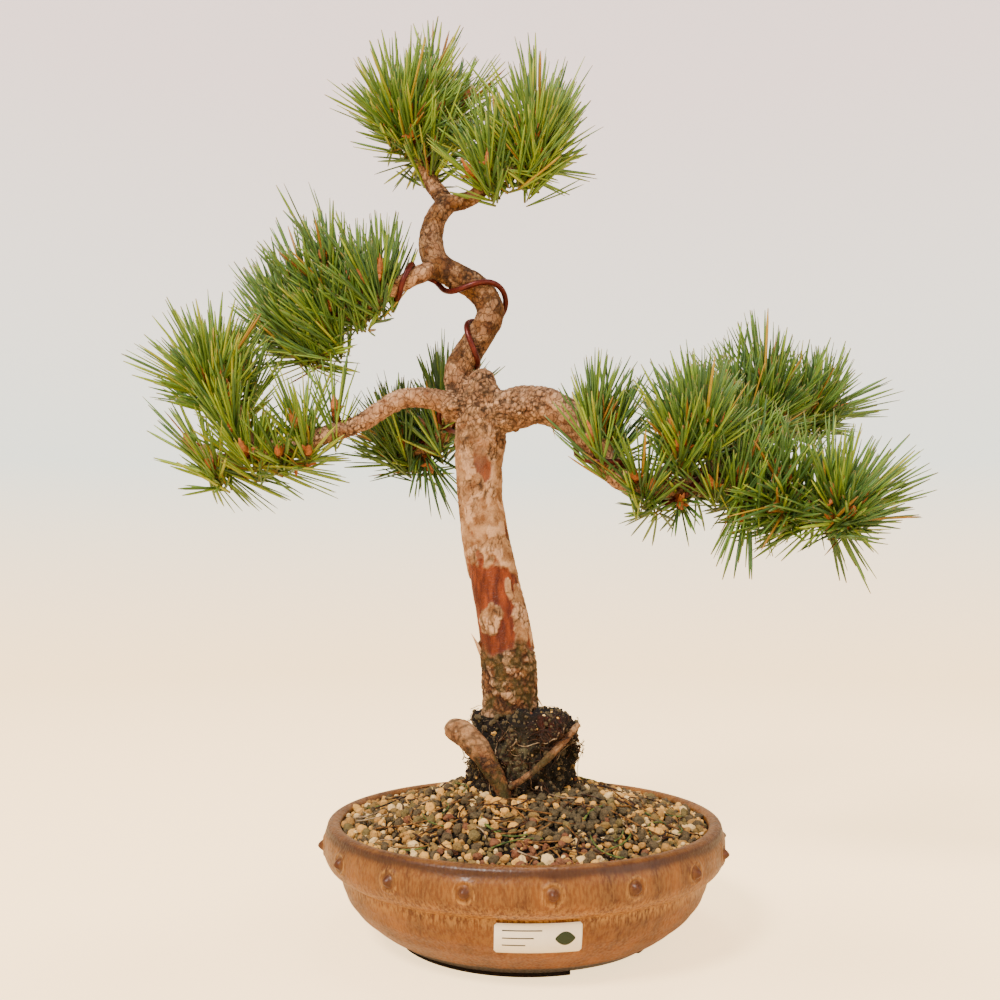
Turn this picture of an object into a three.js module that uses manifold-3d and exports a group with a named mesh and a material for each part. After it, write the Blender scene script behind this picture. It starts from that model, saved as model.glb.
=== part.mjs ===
// A pine bonsai in a round stoneware bowl, in millimetres, +Z up.
// The origin is on the floor, on the bowl's axis; the front of the tree faces -Y.
import * as THREE from "three";
import { mergeVertices } from "three/addons/utils/BufferGeometryUtils.js";
import Module from "manifold-3d";

const wasm = await Module();
wasm.setup();

// ---------------------------------------------------------------- driving dimensions
const GAP = 0.3; // left between two pieces that touch

// Bowl
const RIM_RADIUS = 100;
const BOWL_HEIGHT = 57.6;
const WALL = 6.8;
const WALL_BULGE = 1.8; // how far the wall's belly stands outside the rim
const LIP_ROUND = 2.6;
const BELT_BELOW_RIM = 23.6;
const BELT_INSET = 6; // the belt's radius is this much less than the rim's
const BELT_STEP = 1.1;
const BELLY_FULLNESS = 2.15; // 1 is a straight cone from base to belt
const BASE_THICKNESS = 7;
const BASE_FLARE = 2;
const DRAIN_RADIUS = 9;

// Feet: a ring cut into three
const FOOT_RADIUS = 64.5;
const FOOT_WIDTH = 12;
const FOOT_HEIGHT = 3;
const FOOT_COUNT = 3;
const FOOT_ARC = 80; // degrees
const FIRST_FOOT = -112.5; // degrees from +X, the middle of the front foot

// Bosses round the wall, like nail heads
const BOSS_COUNT = 17;
const BOSS_RADIUS = 4;
const BOSS_STANDS_OUT = 3.4;
const BOSS_BELOW_RIM = 10.8;
const FIRST_BOSS = -84.5; // degrees from +X

// Plain sticker on the front, below the belt
const STICKER_WIDTH = 38.6;
const STICKER_HEIGHT = 16;
const STICKER_THICKNESS = 0.4;
const STICKER_BELOW_BELT = 0.6;
const STICKER_TURN = -87.5; // degrees from +X

// Drain screen and the staple that holds it
const SCREEN_MARGIN = 8; // how far it reaches past the drain hole
const SCREEN_THICKNESS = 1.2;
const SCREEN_PITCH = 5.2;
const SCREEN_HOLE = 3.8;
const STAPLE_RADIUS = 0.8;
const STAPLE_FOLD = 12; // length folded back under the base

// Soil
const SOIL_BELOW_RIM = 2.8;
const SOIL_MOUND = 16; // from the soil's edge up to the root collar
const SOIL_POCKET = 4.5; // room over the base for the screen and its staple

// Tree and wire
const TREE_HEIGHT = 411; // from the root collar to the top needles
const DRAWN_HEIGHT = 411; // the height at which the legs below are given
const ROOT_MASS_RADIUS = 30;
const ROOT_MASS_HEIGHT = 45;
const ROOT_MASS_DEPTH = 9; // how far it goes on below the collar
const WIRE_RADIUS = 1.6;
const WIRE_CLEARANCE = 0.6;

// ---------------------------------------------------------------- worked out from them
const TURN = 2 * Math.PI;
const ROUND_SEGMENTS = 48;
const radians = THREE.MathUtils.degToRad;
const lerp = THREE.MathUtils.lerp;
const innerFloor = FOOT_HEIGHT + BASE_THICKNESS;
const beltHeight = BOWL_HEIGHT - BELT_BELOW_RIM;
const beltRadius = RIM_RADIUS - BELT_INSET;
const baseRadius = FOOT_RADIUS + BASE_FLARE;
const soilEdge = BOWL_HEIGHT - SOIL_BELOW_RIM;
const collarHeight = soilEdge + SOIL_MOUND;
const treeScale = TREE_HEIGHT / DRAWN_HEIGHT;

// ---------------------------------------------------------------- solids
function solid(geometry) {
  const bare = geometry.clone();
  bare.deleteAttribute("normal");
  bare.deleteAttribute("uv");
  const merged = mergeVertices(bare, 1e-3);
  return new wasm.Manifold(
    new wasm.Mesh({
      numProp: 3,
      vertProperties: new Float32Array(merged.attributes.position.array),
      triVerts: new Uint32Array(merged.index.array),
    }),
  );
}

function geometryOf(body) {
  const mesh = body.getMesh();
  const geometry = new THREE.BufferGeometry();
  geometry.setAttribute("position", new THREE.BufferAttribute(mesh.vertProperties, 3));
  geometry.setIndex(new THREE.BufferAttribute(mesh.triVerts, 1));
  geometry.computeVertexNormals();
  return geometry;
}

// Soft or woody solids cut by a neighbour can shed a sliver; the piece itself is the largest part.
function mainBody(body) {
  const parts = body.decompose();
  parts.sort((a, b) => b.volume() - a.volume());
  return parts[0];
}

function cutBack(body, ...neighbours) {
  return mainBody(neighbours.reduce((left, cutter) => left.subtract(cutter), body));
}

// A lathe about +Z from [radius, height] pairs that run outside first, from bottom to top.
function turned(profile, segments = ROUND_SEGMENTS) {
  const points = profile.map(([r, z]) => new THREE.Vector2(r, z));
  const geometry = new THREE.LatheGeometry(points, segments);
  geometry.rotateX(Math.PI / 2);
  return geometry;
}

// ---------------------------------------------------------------- the bowl
// The outer wall from the base up to the rim, as [radius, height].
function outerWall() {
  const belly = [];
  const steps = 5;
  for (let i = 0; i <= steps; i += 1) {
    const rise = i / steps;
    const swell = 1 - (1 - rise) ** BELLY_FULLNESS;
    belly.push([
      lerp(baseRadius, beltRadius - BELT_STEP, swell),
      lerp(FOOT_HEIGHT, beltHeight, rise),
    ]);
  }
  const aboveBelt = BOWL_HEIGHT - beltHeight;
  const widest = RIM_RADIUS + WALL_BULGE;
  return [
    ...belly,
    [beltRadius, beltHeight + 0.8],
    [lerp(beltRadius, widest, 0.62), beltHeight + 0.14 * aboveBelt],
    [lerp(beltRadius, widest, 0.92), beltHeight + 0.32 * aboveBelt],
    [widest, beltHeight + 0.55 * aboveBelt],
    [lerp(RIM_RADIUS, widest, 0.5), beltHeight + 0.78 * aboveBelt],
    [RIM_RADIUS, BOWL_HEIGHT - LIP_ROUND],
  ];
}

// The wall's outer radius at a height, read off the profile.
function wallRadius(height) {
  const wall = outerWall();
  const above = wall.findIndex(([, z]) => z >= height);
  const [r1, z1] = wall[above];
  const [r0, z0] = wall[above - 1];
  return lerp(r0, r1, (height - z0) / (z1 - z0));
}

function innerRadius(height) {
  return wallRadius(Math.max(height, innerFloor)) - WALL;
}

// The inside from the floor's edge up to the soil's edge, which the soil follows too.
function innerWall() {
  const steps = 4;
  const wall = [];
  for (let i = 0; i <= steps; i += 1) {
    const height = lerp(innerFloor, soilEdge, i / steps);
    wall.push([innerRadius(height), height]);
  }
  return wall;
}

function makeBowl() {
  const lip = [
    [RIM_RADIUS - 0.3 * LIP_ROUND, BOWL_HEIGHT - 0.3 * LIP_ROUND],
    [RIM_RADIUS - LIP_ROUND, BOWL_HEIGHT],
    [RIM_RADIUS - WALL + LIP_ROUND, BOWL_HEIGHT],
    [RIM_RADIUS - WALL + 0.3 * LIP_ROUND, BOWL_HEIGHT - 0.3 * LIP_ROUND],
  ];
  const inside = innerWall().reverse();
  return solid(turned([[0, FOOT_HEIGHT], ...outerWall(), ...lip, ...inside, [0, innerFloor]]));
}

function makeFoot(index) {
  const half = radians(FOOT_ARC / 2);
  const middle = radians(FIRST_FOOT) + (index / FOOT_COUNT) * TURN;
  const outline = new THREE.Shape();
  outline.absarc(0, 0, FOOT_RADIUS, middle - half, middle + half, false);
  outline.absarc(0, 0, FOOT_RADIUS - FOOT_WIDTH, middle + half, middle - half, true);
  const overlap = 1; // runs up into the base that it is joined to
  return solid(
    new THREE.ExtrudeGeometry(outline, {
      depth: FOOT_HEIGHT + overlap,
      bevelEnabled: false,
      curveSegments: 9,
    }),
  );
}

function makeBoss(index) {
  const height = BOWL_HEIGHT - BOSS_BELOW_RIM;
  const dome = new THREE.SphereGeometry(1, 10, 6);
  dome.scale(BOSS_STANDS_OUT, BOSS_RADIUS, BOSS_RADIUS);
  dome.translate(wallRadius(height), 0, height);
  dome.rotateZ(radians(FIRST_BOSS) + (index / BOSS_COUNT) * TURN);
  return solid(dome);
}

function makePot() {
  let pot = makeBowl();
  for (let i = 0; i < FOOT_COUNT; i += 1) {
    pot = pot.add(makeFoot(i));
  }
  for (let i = 0; i < BOSS_COUNT; i += 1) {
    pot = pot.add(makeBoss(i));
  }
  const drill = new THREE.CylinderGeometry(DRAIN_RADIUS, DRAIN_RADIUS, 4 * innerFloor, 24);
  drill.rotateX(Math.PI / 2);
  return pot.subtract(solid(drill));
}

// A thin plate that lies along the curved wall under the belt.
function makeSticker() {
  const columns = 10;
  const rows = 4;
  const plate = new THREE.BoxGeometry(
    STICKER_WIDTH,
    STICKER_HEIGHT,
    STICKER_THICKNESS,
    columns,
    rows,
    1,
  );
  const top = beltHeight - STICKER_BELOW_BELT;
  const lean = Math.hypot(1, (wallRadius(top) - wallRadius(top - STICKER_HEIGHT)) / STICKER_HEIGHT);
  const spot = plate.attributes.position;
  for (let i = 0; i < spot.count; i += 1) {
    const height = top - (STICKER_HEIGHT / 2 - spot.getY(i)) / lean;
    const standsOff = GAP + STICKER_THICKNESS / 2 + spot.getZ(i);
    const radius = wallRadius(height) + standsOff;
    const angle = radians(STICKER_TURN) + spot.getX(i) / radius;
    spot.setXYZ(i, radius * Math.cos(angle), radius * Math.sin(angle), height);
  }
  return solid(plate);
}

// ---------------------------------------------------------------- drain screen and staple
const screenRadius = DRAIN_RADIUS + SCREEN_MARGIN;
const screenBottom = innerFloor + GAP;
const screenTop = screenBottom + SCREEN_THICKNESS;

function makeScreen() {
  const disc = new THREE.CylinderGeometry(screenRadius, screenRadius, SCREEN_THICKNESS, 32);
  disc.rotateX(Math.PI / 2);
  disc.translate(0, 0, screenBottom + SCREEN_THICKNESS / 2);
  const reach = Math.floor((screenRadius - SCREEN_HOLE) / SCREEN_PITCH);
  let screen = solid(disc);
  for (let column = -reach; column <= reach; column += 1) {
    for (let row = -reach; row <= reach; row += 1) {
      const x = column * SCREEN_PITCH;
      const y = row * SCREEN_PITCH;
      if (Math.hypot(x, y) > screenRadius - SCREEN_HOLE) continue;
      const hole = new THREE.BoxGeometry(SCREEN_HOLE, SCREEN_HOLE, 4 * SCREEN_THICKNESS);
      hole.translate(x, y, screenBottom + SCREEN_THICKNESS / 2);
      screen = screen.subtract(solid(hole));
    }
  }
  return screen;
}

// A bent wire: over the screen, down through two of its holes, and out under the base.
function makeStaple() {
  const leg = SCREEN_PITCH;
  const over = screenTop + GAP + STAPLE_RADIUS;
  const under = FOOT_HEIGHT - GAP - STAPLE_RADIUS;
  const side = [
    [leg + STAPLE_FOLD, under],
    [leg + STAPLE_FOLD / 2, under],
    [leg + 1, under + 0.3],
    [leg, under + 2.4],
    [leg, (under + over) / 2],
    [leg, over - 1.6],
    [leg - 1.2, over],
  ];
  const points = [
    ...side.map(([x, z]) => new THREE.Vector3(-x, 0, z)),
    ...side.reverse().map(([x, z]) => new THREE.Vector3(x, 0, z)),
  ];
  return solid(rod(new THREE.CatmullRomCurve3(points, false, "centripetal"), STAPLE_RADIUS, 22, 6));
}

// ---------------------------------------------------------------- soil
// The bed rises from the rim to the root collar, with low waves that fade out at the edge.
function soilSurface(x, y) {
  const reach = innerRadius(soilEdge) - GAP;
  const inward = THREE.MathUtils.clamp(1 - Math.hypot(x, y) / reach, 0, 1);
  const mound = THREE.MathUtils.smoothstep(inward, 0, 0.72);
  const waves = Math.sin(x / 11 + 1.3) * Math.cos(y / 13) + 0.6 * Math.sin((x + y) / 7);
  return soilEdge + SOIL_MOUND * mound + 0.9 * waves * Math.min(1, 5 * inward);
}

function makeSoil() {
  const wall = innerWall().map(([r, z]) => [r - GAP, Math.max(z, innerFloor + GAP)]);
  const rings = 4;
  const edge = wall[wall.length - 1][0];
  const surface = [];
  for (let i = 1; i <= rings; i += 1) {
    surface.push([edge * (1 - i / rings), soilEdge + 1]);
  }
  const pocketRadius = screenRadius + 1;
  const pocketTop = innerFloor + SOIL_POCKET;
  const pocket = [
    [0, pocketTop],
    [pocketRadius, pocketTop],
    [pocketRadius, innerFloor + GAP],
  ];
  const bed = turned([...pocket, ...wall, ...surface]);
  const spot = bed.attributes.position;
  for (let i = 0; i < spot.count; i += 1) {
    if (spot.getZ(i) > soilEdge + 0.5) {
      spot.setZ(i, soilSurface(spot.getX(i), spot.getY(i)));
    }
  }
  return solid(bed);
}

// ---------------------------------------------------------------- stems
// A rod of one radius along a curve, closed at both ends.
function rod(curve, radius, steps, sides) {
  const section = new THREE.Shape();
  for (let i = 0; i < sides; i += 1) {
    const angle = (i / sides) * TURN;
    const move = i === 0 ? "moveTo" : "lineTo";
    section[move](radius * Math.cos(angle), radius * Math.sin(angle));
  }
  return new THREE.ExtrudeGeometry(section, { steps, extrudePath: curve, bevelEnabled: false });
}

// A point beside the trunk's axis, [x, y, height above the collar], at the drawn height.
function spotAt(x, y, z) {
  return new THREE.Vector3(x * treeScale, y * treeScale, collarHeight + z * treeScale);
}

// A stem is walked in legs, at the drawn height. Each leg has a length, a rise above the level
// and a heading in plan, in degrees, and the radius at its end. Heading 0 is the tree's right,
// 90 its back and 180 its left.
class Stem {
  constructor(start, firstRadius, legs) {
    const here = start.clone();
    const points = [here.clone()];
    this.radii = [firstRadius * treeScale];
    for (const [length, rise, heading, radius] of legs) {
      const level = length * Math.cos(radians(rise));
      const east = level * Math.cos(radians(heading));
      const north = level * Math.sin(radians(heading));
      const up = length * Math.sin(radians(rise));
      here.add(new THREE.Vector3(east, north, up).multiplyScalar(treeScale));
      points.push(here.clone());
      this.radii.push(radius * treeScale);
    }
    this.curve = new THREE.CatmullRomCurve3(points, false, "centripetal");
  }

  // The middle of the stem at a share of its length, where another stem leaves it.
  at(u) {
    return this.curve.getPointAt(u);
  }

  radiusAt(u) {
    const along = this.curve.getUtoTmapping(u) * (this.radii.length - 1);
    const before = Math.min(Math.floor(along), this.radii.length - 2);
    return lerp(this.radii[before], this.radii[before + 1], along - before);
  }

  // A thin rod whose rings are then widened to the stem's own radius.
  body(grow = 0) {
    const sides = 10;
    const thin = 0.4;
    const steps = Math.max(4, Math.round(this.curve.getLength() / (6.2 * treeScale)));
    const geometry = rod(this.curve, thin, steps, sides);
    const centres = this.curve.getSpacedPoints(steps);
    const spot = geometry.attributes.position;
    const point = new THREE.Vector3();
    for (let i = 0; i < spot.count; i += 1) {
      point.fromBufferAttribute(spot, i);
      const ring = nearest(centres, point);
      const radius = this.radiusAt(ring / steps) + grow;
      point.sub(centres[ring]).multiplyScalar(radius / thin).add(centres[ring]);
      spot.setXYZ(i, point.x, point.y, point.z);
    }
    return solid(geometry);
  }

  // A point beside the stem, at an angle that is 0 in front and 90 on its right.
  beside(u, degrees, distance) {
    const along = this.curve.getTangentAt(u);
    const front = new THREE.Vector3(0, -1, 0);
    front.addScaledVector(along, -front.dot(along)).normalize();
    const right = new THREE.Vector3().crossVectors(front, along).negate();
    const angle = radians(degrees);
    return this.curve
      .getPointAt(u)
      .addScaledVector(front, Math.cos(angle) * distance)
      .addScaledVector(right, Math.sin(angle) * distance);
  }
}

function nearest(centres, point) {
  let best = 0;
  for (let i = 1; i < centres.length; i += 1) {
    if (centres[i].distanceToSquared(point) < centres[best].distanceToSquared(point)) {
      best = i;
    }
  }
  return best;
}

// The trunk stands straight, leans to the left, and ends in the healed knob of an old cut.
const trunk = new Stem(spotAt(-8, 5, -5), 15.5, [
  [70, 90, 180, 15],
  [85, 80, 180, 12],
  [45, 90, 180, 13],
  [12, 90, 180, 10],
  [14, 90, 180, 4.5],
]);
// The new top: out behind the knob, over to the right, back to the left and up.
const leader = new Stem(trunk.at(0.9), 6, [
  [25, 55, 160, 7],
  [40, 60, -15, 7.5],
  [15, 60, 185, 7.5],
  [25, 30, 185, 7],
  [15, 75, 180, 6.5],
  [15, 75, 0, 5.5],
  [10, 45, 0, 5],
]);
const upperLeftBranch = new Stem(leader.at(0.72), 4.5, [
  [20, -30, 220, 4.5],
  [25, -25, 165, 4],
  [45, -25, 155, 3],
]);
const crownLeftLimb = new Stem(leader.at(0.98), 4.5, [
  [20, 55, 150, 4],
  [35, 70, 180, 3],
]);
const crownRightLimb = new Stem(leader.at(0.98), 4.5, [
  [15, 10, -10, 4],
  [15, 45, -15, 4],
  [20, 15, -10, 3],
]);
// The left branch sweeps down and out, and turns up at its tip.
const leftBranch = new Stem(trunk.at(0.9), 5.5, [
  [40, 10, 190, 5],
  [30, -30, 190, 4.5],
  [60, -15, 175, 5],
  [20, -10, 180, 3],
  [10, 55, 190, 2.5],
]);
const leftSpur = new Stem(leftBranch.at(0.81), 4.5, [
  [25, 70, 185, 5.5],
  [20, 55, 190, 3],
]);
// The heavy right branch arches over, drops, and runs out nearly level.
const rightBranch = new Stem(trunk.at(0.88), 9.5, [
  [30, 15, -10, 10.5],
  [20, -20, -15, 9],
  [45, -50, -5, 6],
  [25, -10, 5, 5],
  [20, 5, 5, 5],
  [70, -10, -10, 3],
]);
const rightSideStem = new Stem(rightBranch.at(0.52), 3, [
  [20, 40, -35, 3],
  [20, 50, -10, 2.5],
]);
const rightUpperStem = new Stem(rightBranch.at(0.66), 3.5, [
  [40, 35, 60, 3.5],
  [40, 30, 30, 3.5],
  [30, 5, 10, 2.5],
]);
const backBranch = new Stem(trunk.at(0.9), 4.5, [
  [40, 5, 120, 4.5],
  [25, -35, 110, 4],
  [25, 0, 150, 3.5],
]);
// An old root, cut off at its upper end, that arches down into the soil on the left.
const cutRoot = new Stem(spotAt(-38, -12, 32), 5, [
  [5, 0, -40, 6.5],
  [12, -25, -40, 6.5],
  [15, -50, -25, 5],
  [15, -60, -20, 3.5],
  [10, -80, 0, 2.5],
]);
const surfaceRoot = new Stem(spotAt(28, -10, 34), 1.6, [
  [25, -35, 220, 1.8],
  [20, -35, 200, 1.6],
  [20, -20, 190, 1.2],
]);

// Old earth and matted fine roots round the base of the trunk, as a lumpy bell.
function makeRootMass(grow = 0) {
  const rings = 7;
  const bell = [[0, -ROOT_MASS_DEPTH]];
  for (let i = 0; i <= rings; i += 1) {
    const rise = i / rings;
    const radius = ROOT_MASS_RADIUS * (1 - rise ** 5) ** 0.3;
    bell.push([radius, lerp(-ROOT_MASS_DEPTH, ROOT_MASS_HEIGHT, rise)]);
  }
  const geometry = turned(
    bell.map(([r, z]) => [r * treeScale, z * treeScale]),
    26,
  );
  const spot = geometry.attributes.position;
  for (let i = 0; i < spot.count; i += 1) {
    const radius = Math.hypot(spot.getX(i), spot.getY(i));
    if (radius < 1) continue;
    const angle = Math.atan2(spot.getY(i), spot.getX(i));
    const lump = 1.5 * Math.sin(3 * angle + 0.11 * spot.getZ(i)) + Math.sin(7 * angle + 2);
    const wider = 1 + (lump * treeScale + grow) / radius;
    spot.setXY(i, spot.getX(i) * wider, spot.getY(i) * wider);
  }
  geometry.translate(-2 * treeScale, 4 * treeScale, collarHeight);
  return solid(geometry);
}

// ---------------------------------------------------------------- wires
// Points of a wire wound on a stem, from [place along the stem, angle] pairs.
function wound(stem, turns, perTurn = 10) {
  const points = [];
  for (let i = 1; i < turns.length; i += 1) {
    const [u0, a0] = turns[i - 1];
    const [u1, a1] = turns[i];
    const count = Math.max(2, Math.round((Math.abs(a1 - a0) / 360) * perTurn));
    for (let k = i === 1 ? 0 : 1; k <= count; k += 1) {
      const u = lerp(u0, u1, k / count);
      const distance = stem.radiusAt(u) + WIRE_RADIUS + WIRE_CLEARANCE;
      points.push(stem.beside(u, lerp(a0, a1, k / count), distance));
    }
  }
  return points;
}

function wire(points) {
  const curve = new THREE.CatmullRomCurve3(points, false, "centripetal");
  const steps = Math.round(curve.getLength() / (2.6 * WIRE_RADIUS));
  return solid(rod(curve, WIRE_RADIUS, steps, 6));
}

const leaderWire = wire([
  ...wound(leader, [
    [0.24, 110],
    [0.29, 30],
    [0.35, -60],
    [0.42, -180],
    [0.49, -270],
    [0.56, -360],
    [0.64, -440],
    [0.7, -500],
  ]),
  ...wound(upperLeftBranch, [
    [0.12, 150],
    [0.2, 60],
    [0.3, -30],
    [0.4, -140],
    [0.58, -280],
    [0.74, -400],
    [0.9, -520],
  ]),
]);
const rightBranchWire = wire(
  wound(rightBranch, [
    [0.3, 150],
    [0.36, 60],
    [0.43, -60],
    [0.52, -200],
    [0.6, -330],
    [0.66, -420],
    [0.76, -560],
    [0.86, -690],
  ]),
);
const backBranchWire = wire(
  wound(backBranch, [
    [0.3, 100],
    [0.45, -10],
    [0.6, -120],
    [0.75, -250],
    [0.9, -380],
  ]),
);

// ---------------------------------------------------------------- needles
// How far a tuft's needles reach sideways from its middle.
const FULL = 38;
const MIDDLING = 33;
const SMALL = 28;
const SPRIG = 16;

// A tuft's needles fill round masses, each hung on its own stem: the stem, the share of its
// length, the way from there to the middle of the mass, its reach, and its height over its width.
const foliage = {
  crown_left_needles: [
    [crownLeftLimb, 1, [-10, 0, 5], FULL, 1.05],
    [crownLeftLimb, 0.7, [-25, -15, 0], SMALL, 0.85],
  ],
  crown_middle_needles: [
    [crownLeftLimb, 1, [20, 10, 5], SMALL, 1.5],
    [crownLeftLimb, 0, [-5, -15, 10], SPRIG, 1.1],
  ],
  crown_right_needles: [
    [crownRightLimb, 1, [5, 0, 30], FULL, 1],
    [crownRightLimb, 0.7, [-5, -10, -5], SMALL, 0.85],
  ],
  upper_left_inner_needles: [[upperLeftBranch, 0.5, [-5, -10, 15], SMALL, 1.1]],
  upper_left_middle_needles: [[upperLeftBranch, 0.9, [-10, -5, 40], MIDDLING, 1.2]],
  upper_left_outer_needles: [[upperLeftBranch, 1, [-30, 10, 25], MIDDLING, 0.75]],
  lower_left_outer_needles: [
    [leftBranch, 1, [-5, 0, 30], MIDDLING, 1.15],
    [leftBranch, 1, [-5, 0, 10], SMALL, 0.8],
  ],
  lower_left_inner_needles: [[leftSpur, 0.5, [20, -5, 20], MIDDLING, 1]],
  lower_left_hanging_needles: [[leftBranch, 0.8, [5, -5, -10], MIDDLING, 0.55]],
  back_upper_needles: [[backBranch, 0.75, [0, 10, 35], MIDDLING, 0.95]],
  back_lower_needles: [[backBranch, 1, [0, 0, 0], SMALL, 1.2]],
  right_inner_needles: [
    [rightSideStem, 0.6, [-40, -20, 10], FULL, 0.9],
    [rightSideStem, 0.2, [-30, -20, 0], SMALL, 0.8],
  ],
  right_middle_needles: [[rightSideStem, 1, [-10, 0, 20], MIDDLING, 0.9]],
  right_upper_needles: [[rightUpperStem, 0.55, [0, -5, 35], FULL, 0.9]],
  right_upper_outer_needles: [[rightUpperStem, 1, [0, -5, 15], MIDDLING, 0.9]],
  right_outer_needles: [
    [rightBranch, 0.92, [0, 0, 15], FULL, 0.9],
    [rightBranch, 1, [10, 0, -5], MIDDLING, 0.75],
  ],
  right_hanging_needles: [[rightBranch, 0.88, [0, 0, -20], SMALL, 0.8]],
  right_low_needles: [[rightBranch, 0.65, [0, 10, -15], SMALL, 0.85]],
};

function mass([stem, share, [x, y, z], reach, tall], grow) {
  const ball = new THREE.IcosahedronGeometry(1, 1);
  const width = reach * treeScale + grow;
  ball.scale(width, width, reach * tall * treeScale + grow);
  const middle = stem.at(share).add(new THREE.Vector3(x, y, z).multiplyScalar(treeScale));
  ball.translate(middle.x, middle.y, middle.z);
  return solid(ball);
}

function tuft(masses, grow = 0) {
  return masses.map((ball) => mass(ball, grow)).reduce((sum, ball) => sum.add(ball));
}

// ---------------------------------------------------------------- finishes
function finish(color, roughness, metalness = 0) {
  return new THREE.MeshStandardMaterial({ color, roughness, metalness });
}

const glaze = finish(0x8a6238, 0.45);
const paper = finish(0xe9e6dc, 0.7);
const screenPlastic = finish(0x1d2a22, 0.6);
const anodised = finish(0x4a2019, 0.35, 0.8);
const gravel = finish(0x9c8252, 0.95);
const earth = finish(0x2a211b, 0.95);
const bark = finish(0xa98a72, 0.85);
const needles = finish(0x55722e, 0.6);

// ---------------------------------------------------------------- assembly
const bonsai = new THREE.Group();

function place(name, body, material) {
  const mesh = new THREE.Mesh(geometryOf(body), material);
  mesh.name = name;
  bonsai.add(mesh);
}

place("pot", makePot(), glaze);
place("sticker", makeSticker(), paper);
place("drain_screen", makeScreen(), screenPlastic);
place("screen_staple", makeStaple(), anodised);

const rootCutters = [trunk, cutRoot, surfaceRoot].map((stem) => stem.body(GAP));
place("root_mass", cutBack(makeRootMass(), ...rootCutters), earth);
place("soil", cutBack(makeSoil(), makeRootMass(GAP), ...rootCutters), gravel);

// Each stem is cut back where it leaves the ones before it.
const stems = {
  trunk: [trunk, []],
  cut_root: [cutRoot, [trunk]],
  surface_root: [surfaceRoot, [trunk, cutRoot]],
  leader: [leader, [trunk]],
  right_branch: [rightBranch, [trunk, leader]],
  left_branch: [leftBranch, [trunk, leader]],
  back_branch: [backBranch, [trunk, leader, leftBranch]],
  upper_left_branch: [upperLeftBranch, [leader]],
  crown_left_limb: [crownLeftLimb, [leader]],
  crown_right_limb: [crownRightLimb, [leader, crownLeftLimb]],
  left_spur: [leftSpur, [leftBranch]],
  right_side_stem: [rightSideStem, [rightBranch]],
  right_upper_stem: [rightUpperStem, [rightBranch]],
};
for (const [name, [stem, parents]] of Object.entries(stems)) {
  const parentBodies = parents.map((parent) => parent.body(GAP));
  place(name, cutBack(stem.body(), ...parentBodies), bark);
}

const wires = {
  leader_wire: leaderWire,
  right_branch_wire: rightBranchWire,
  back_branch_wire: backBranchWire,
};
for (const [name, strand] of Object.entries(wires)) {
  place(name, strand, anodised);
}

// Each tuft grows round its stems and wires, and stops short of the tufts before it.
const wired = [leader, upperLeftBranch, rightBranch, backBranch];
const wireRoom = 2 * WIRE_RADIUS + 2 * WIRE_CLEARANCE + GAP;
const woodAndWire = Object.values(stems).map(([stem]) =>
  stem.body(wired.includes(stem) ? wireRoom : GAP),
);
const grownTufts = [];
for (const [name, masses] of Object.entries(foliage)) {
  place(name, cutBack(tuft(masses), ...woodAndWire, ...grownTufts), needles);
  grownTufts.push(tuft(masses, GAP));
}

export default bonsai;
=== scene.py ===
# %% [markdown]
# # A pine bonsai in a glazed bowl
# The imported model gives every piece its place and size. This lesson builds the fine surface
# around it: glaze, gravel, earth, bark, wire and a few thousand needles. Everything is in metres.

import math

import bmesh
import bpy
import numpy as np
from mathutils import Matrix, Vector
from mathutils.bvhtree import BVHTree


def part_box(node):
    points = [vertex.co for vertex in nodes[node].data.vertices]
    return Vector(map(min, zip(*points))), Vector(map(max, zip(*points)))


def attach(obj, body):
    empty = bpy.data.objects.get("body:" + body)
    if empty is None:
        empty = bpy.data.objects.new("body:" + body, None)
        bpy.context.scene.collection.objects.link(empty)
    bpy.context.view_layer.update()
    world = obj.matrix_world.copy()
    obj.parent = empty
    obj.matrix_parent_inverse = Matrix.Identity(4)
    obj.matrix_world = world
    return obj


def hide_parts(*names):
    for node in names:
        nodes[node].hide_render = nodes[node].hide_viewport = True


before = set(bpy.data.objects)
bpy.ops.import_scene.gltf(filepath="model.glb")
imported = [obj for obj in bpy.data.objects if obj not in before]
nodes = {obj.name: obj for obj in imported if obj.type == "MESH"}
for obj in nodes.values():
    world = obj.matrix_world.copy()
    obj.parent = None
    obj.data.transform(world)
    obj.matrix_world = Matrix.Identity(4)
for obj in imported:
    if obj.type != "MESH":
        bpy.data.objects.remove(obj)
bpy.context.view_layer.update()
MM = 0.001
TURN = 2 * math.pi
print("packed nodes:", len(nodes))

# %% [markdown]
# ## Helpers for shape
# Blender keeps a mesh as a list of points and a list of faces. Building those lists with numpy
# is quick even for thousands of grains. The noise below gives the same number at the same
# place in every run, so the bark and the glaze never change between renders.

# %% Mesh helpers
def make_piece(name, points, faces, material, replaced=()):
    mesh = bpy.data.meshes.new(name)
    mesh.from_pydata(np.asarray(points, float).tolist(), [], faces)
    mesh.update()
    piece = bpy.data.objects.new(name, mesh)
    bpy.context.scene.collection.objects.link(piece)
    return dress(piece, material, replaced)


def dress(piece, material, replaced):
    """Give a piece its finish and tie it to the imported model."""
    piece.data.materials.clear()
    piece.data.materials.append(material)
    piece.data.polygons.foreach_set("use_smooth", [True] * len(piece.data.polygons))
    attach(piece, "root")
    if replaced:
        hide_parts(*replaced)
    print(piece.name, len(piece.data.polygons), "faces")
    return piece


def paint_points(piece, name, values):
    layer = piece.data.attributes.new(name, "FLOAT", "POINT")
    layer.data.foreach_set("value", np.asarray(values, np.float32))


def points_of(piece):
    flat = np.zeros(3 * len(piece.data.vertices), np.float32)
    piece.data.vertices.foreach_get("co", flat)
    return flat.reshape(-1, 3).astype(float)


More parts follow.
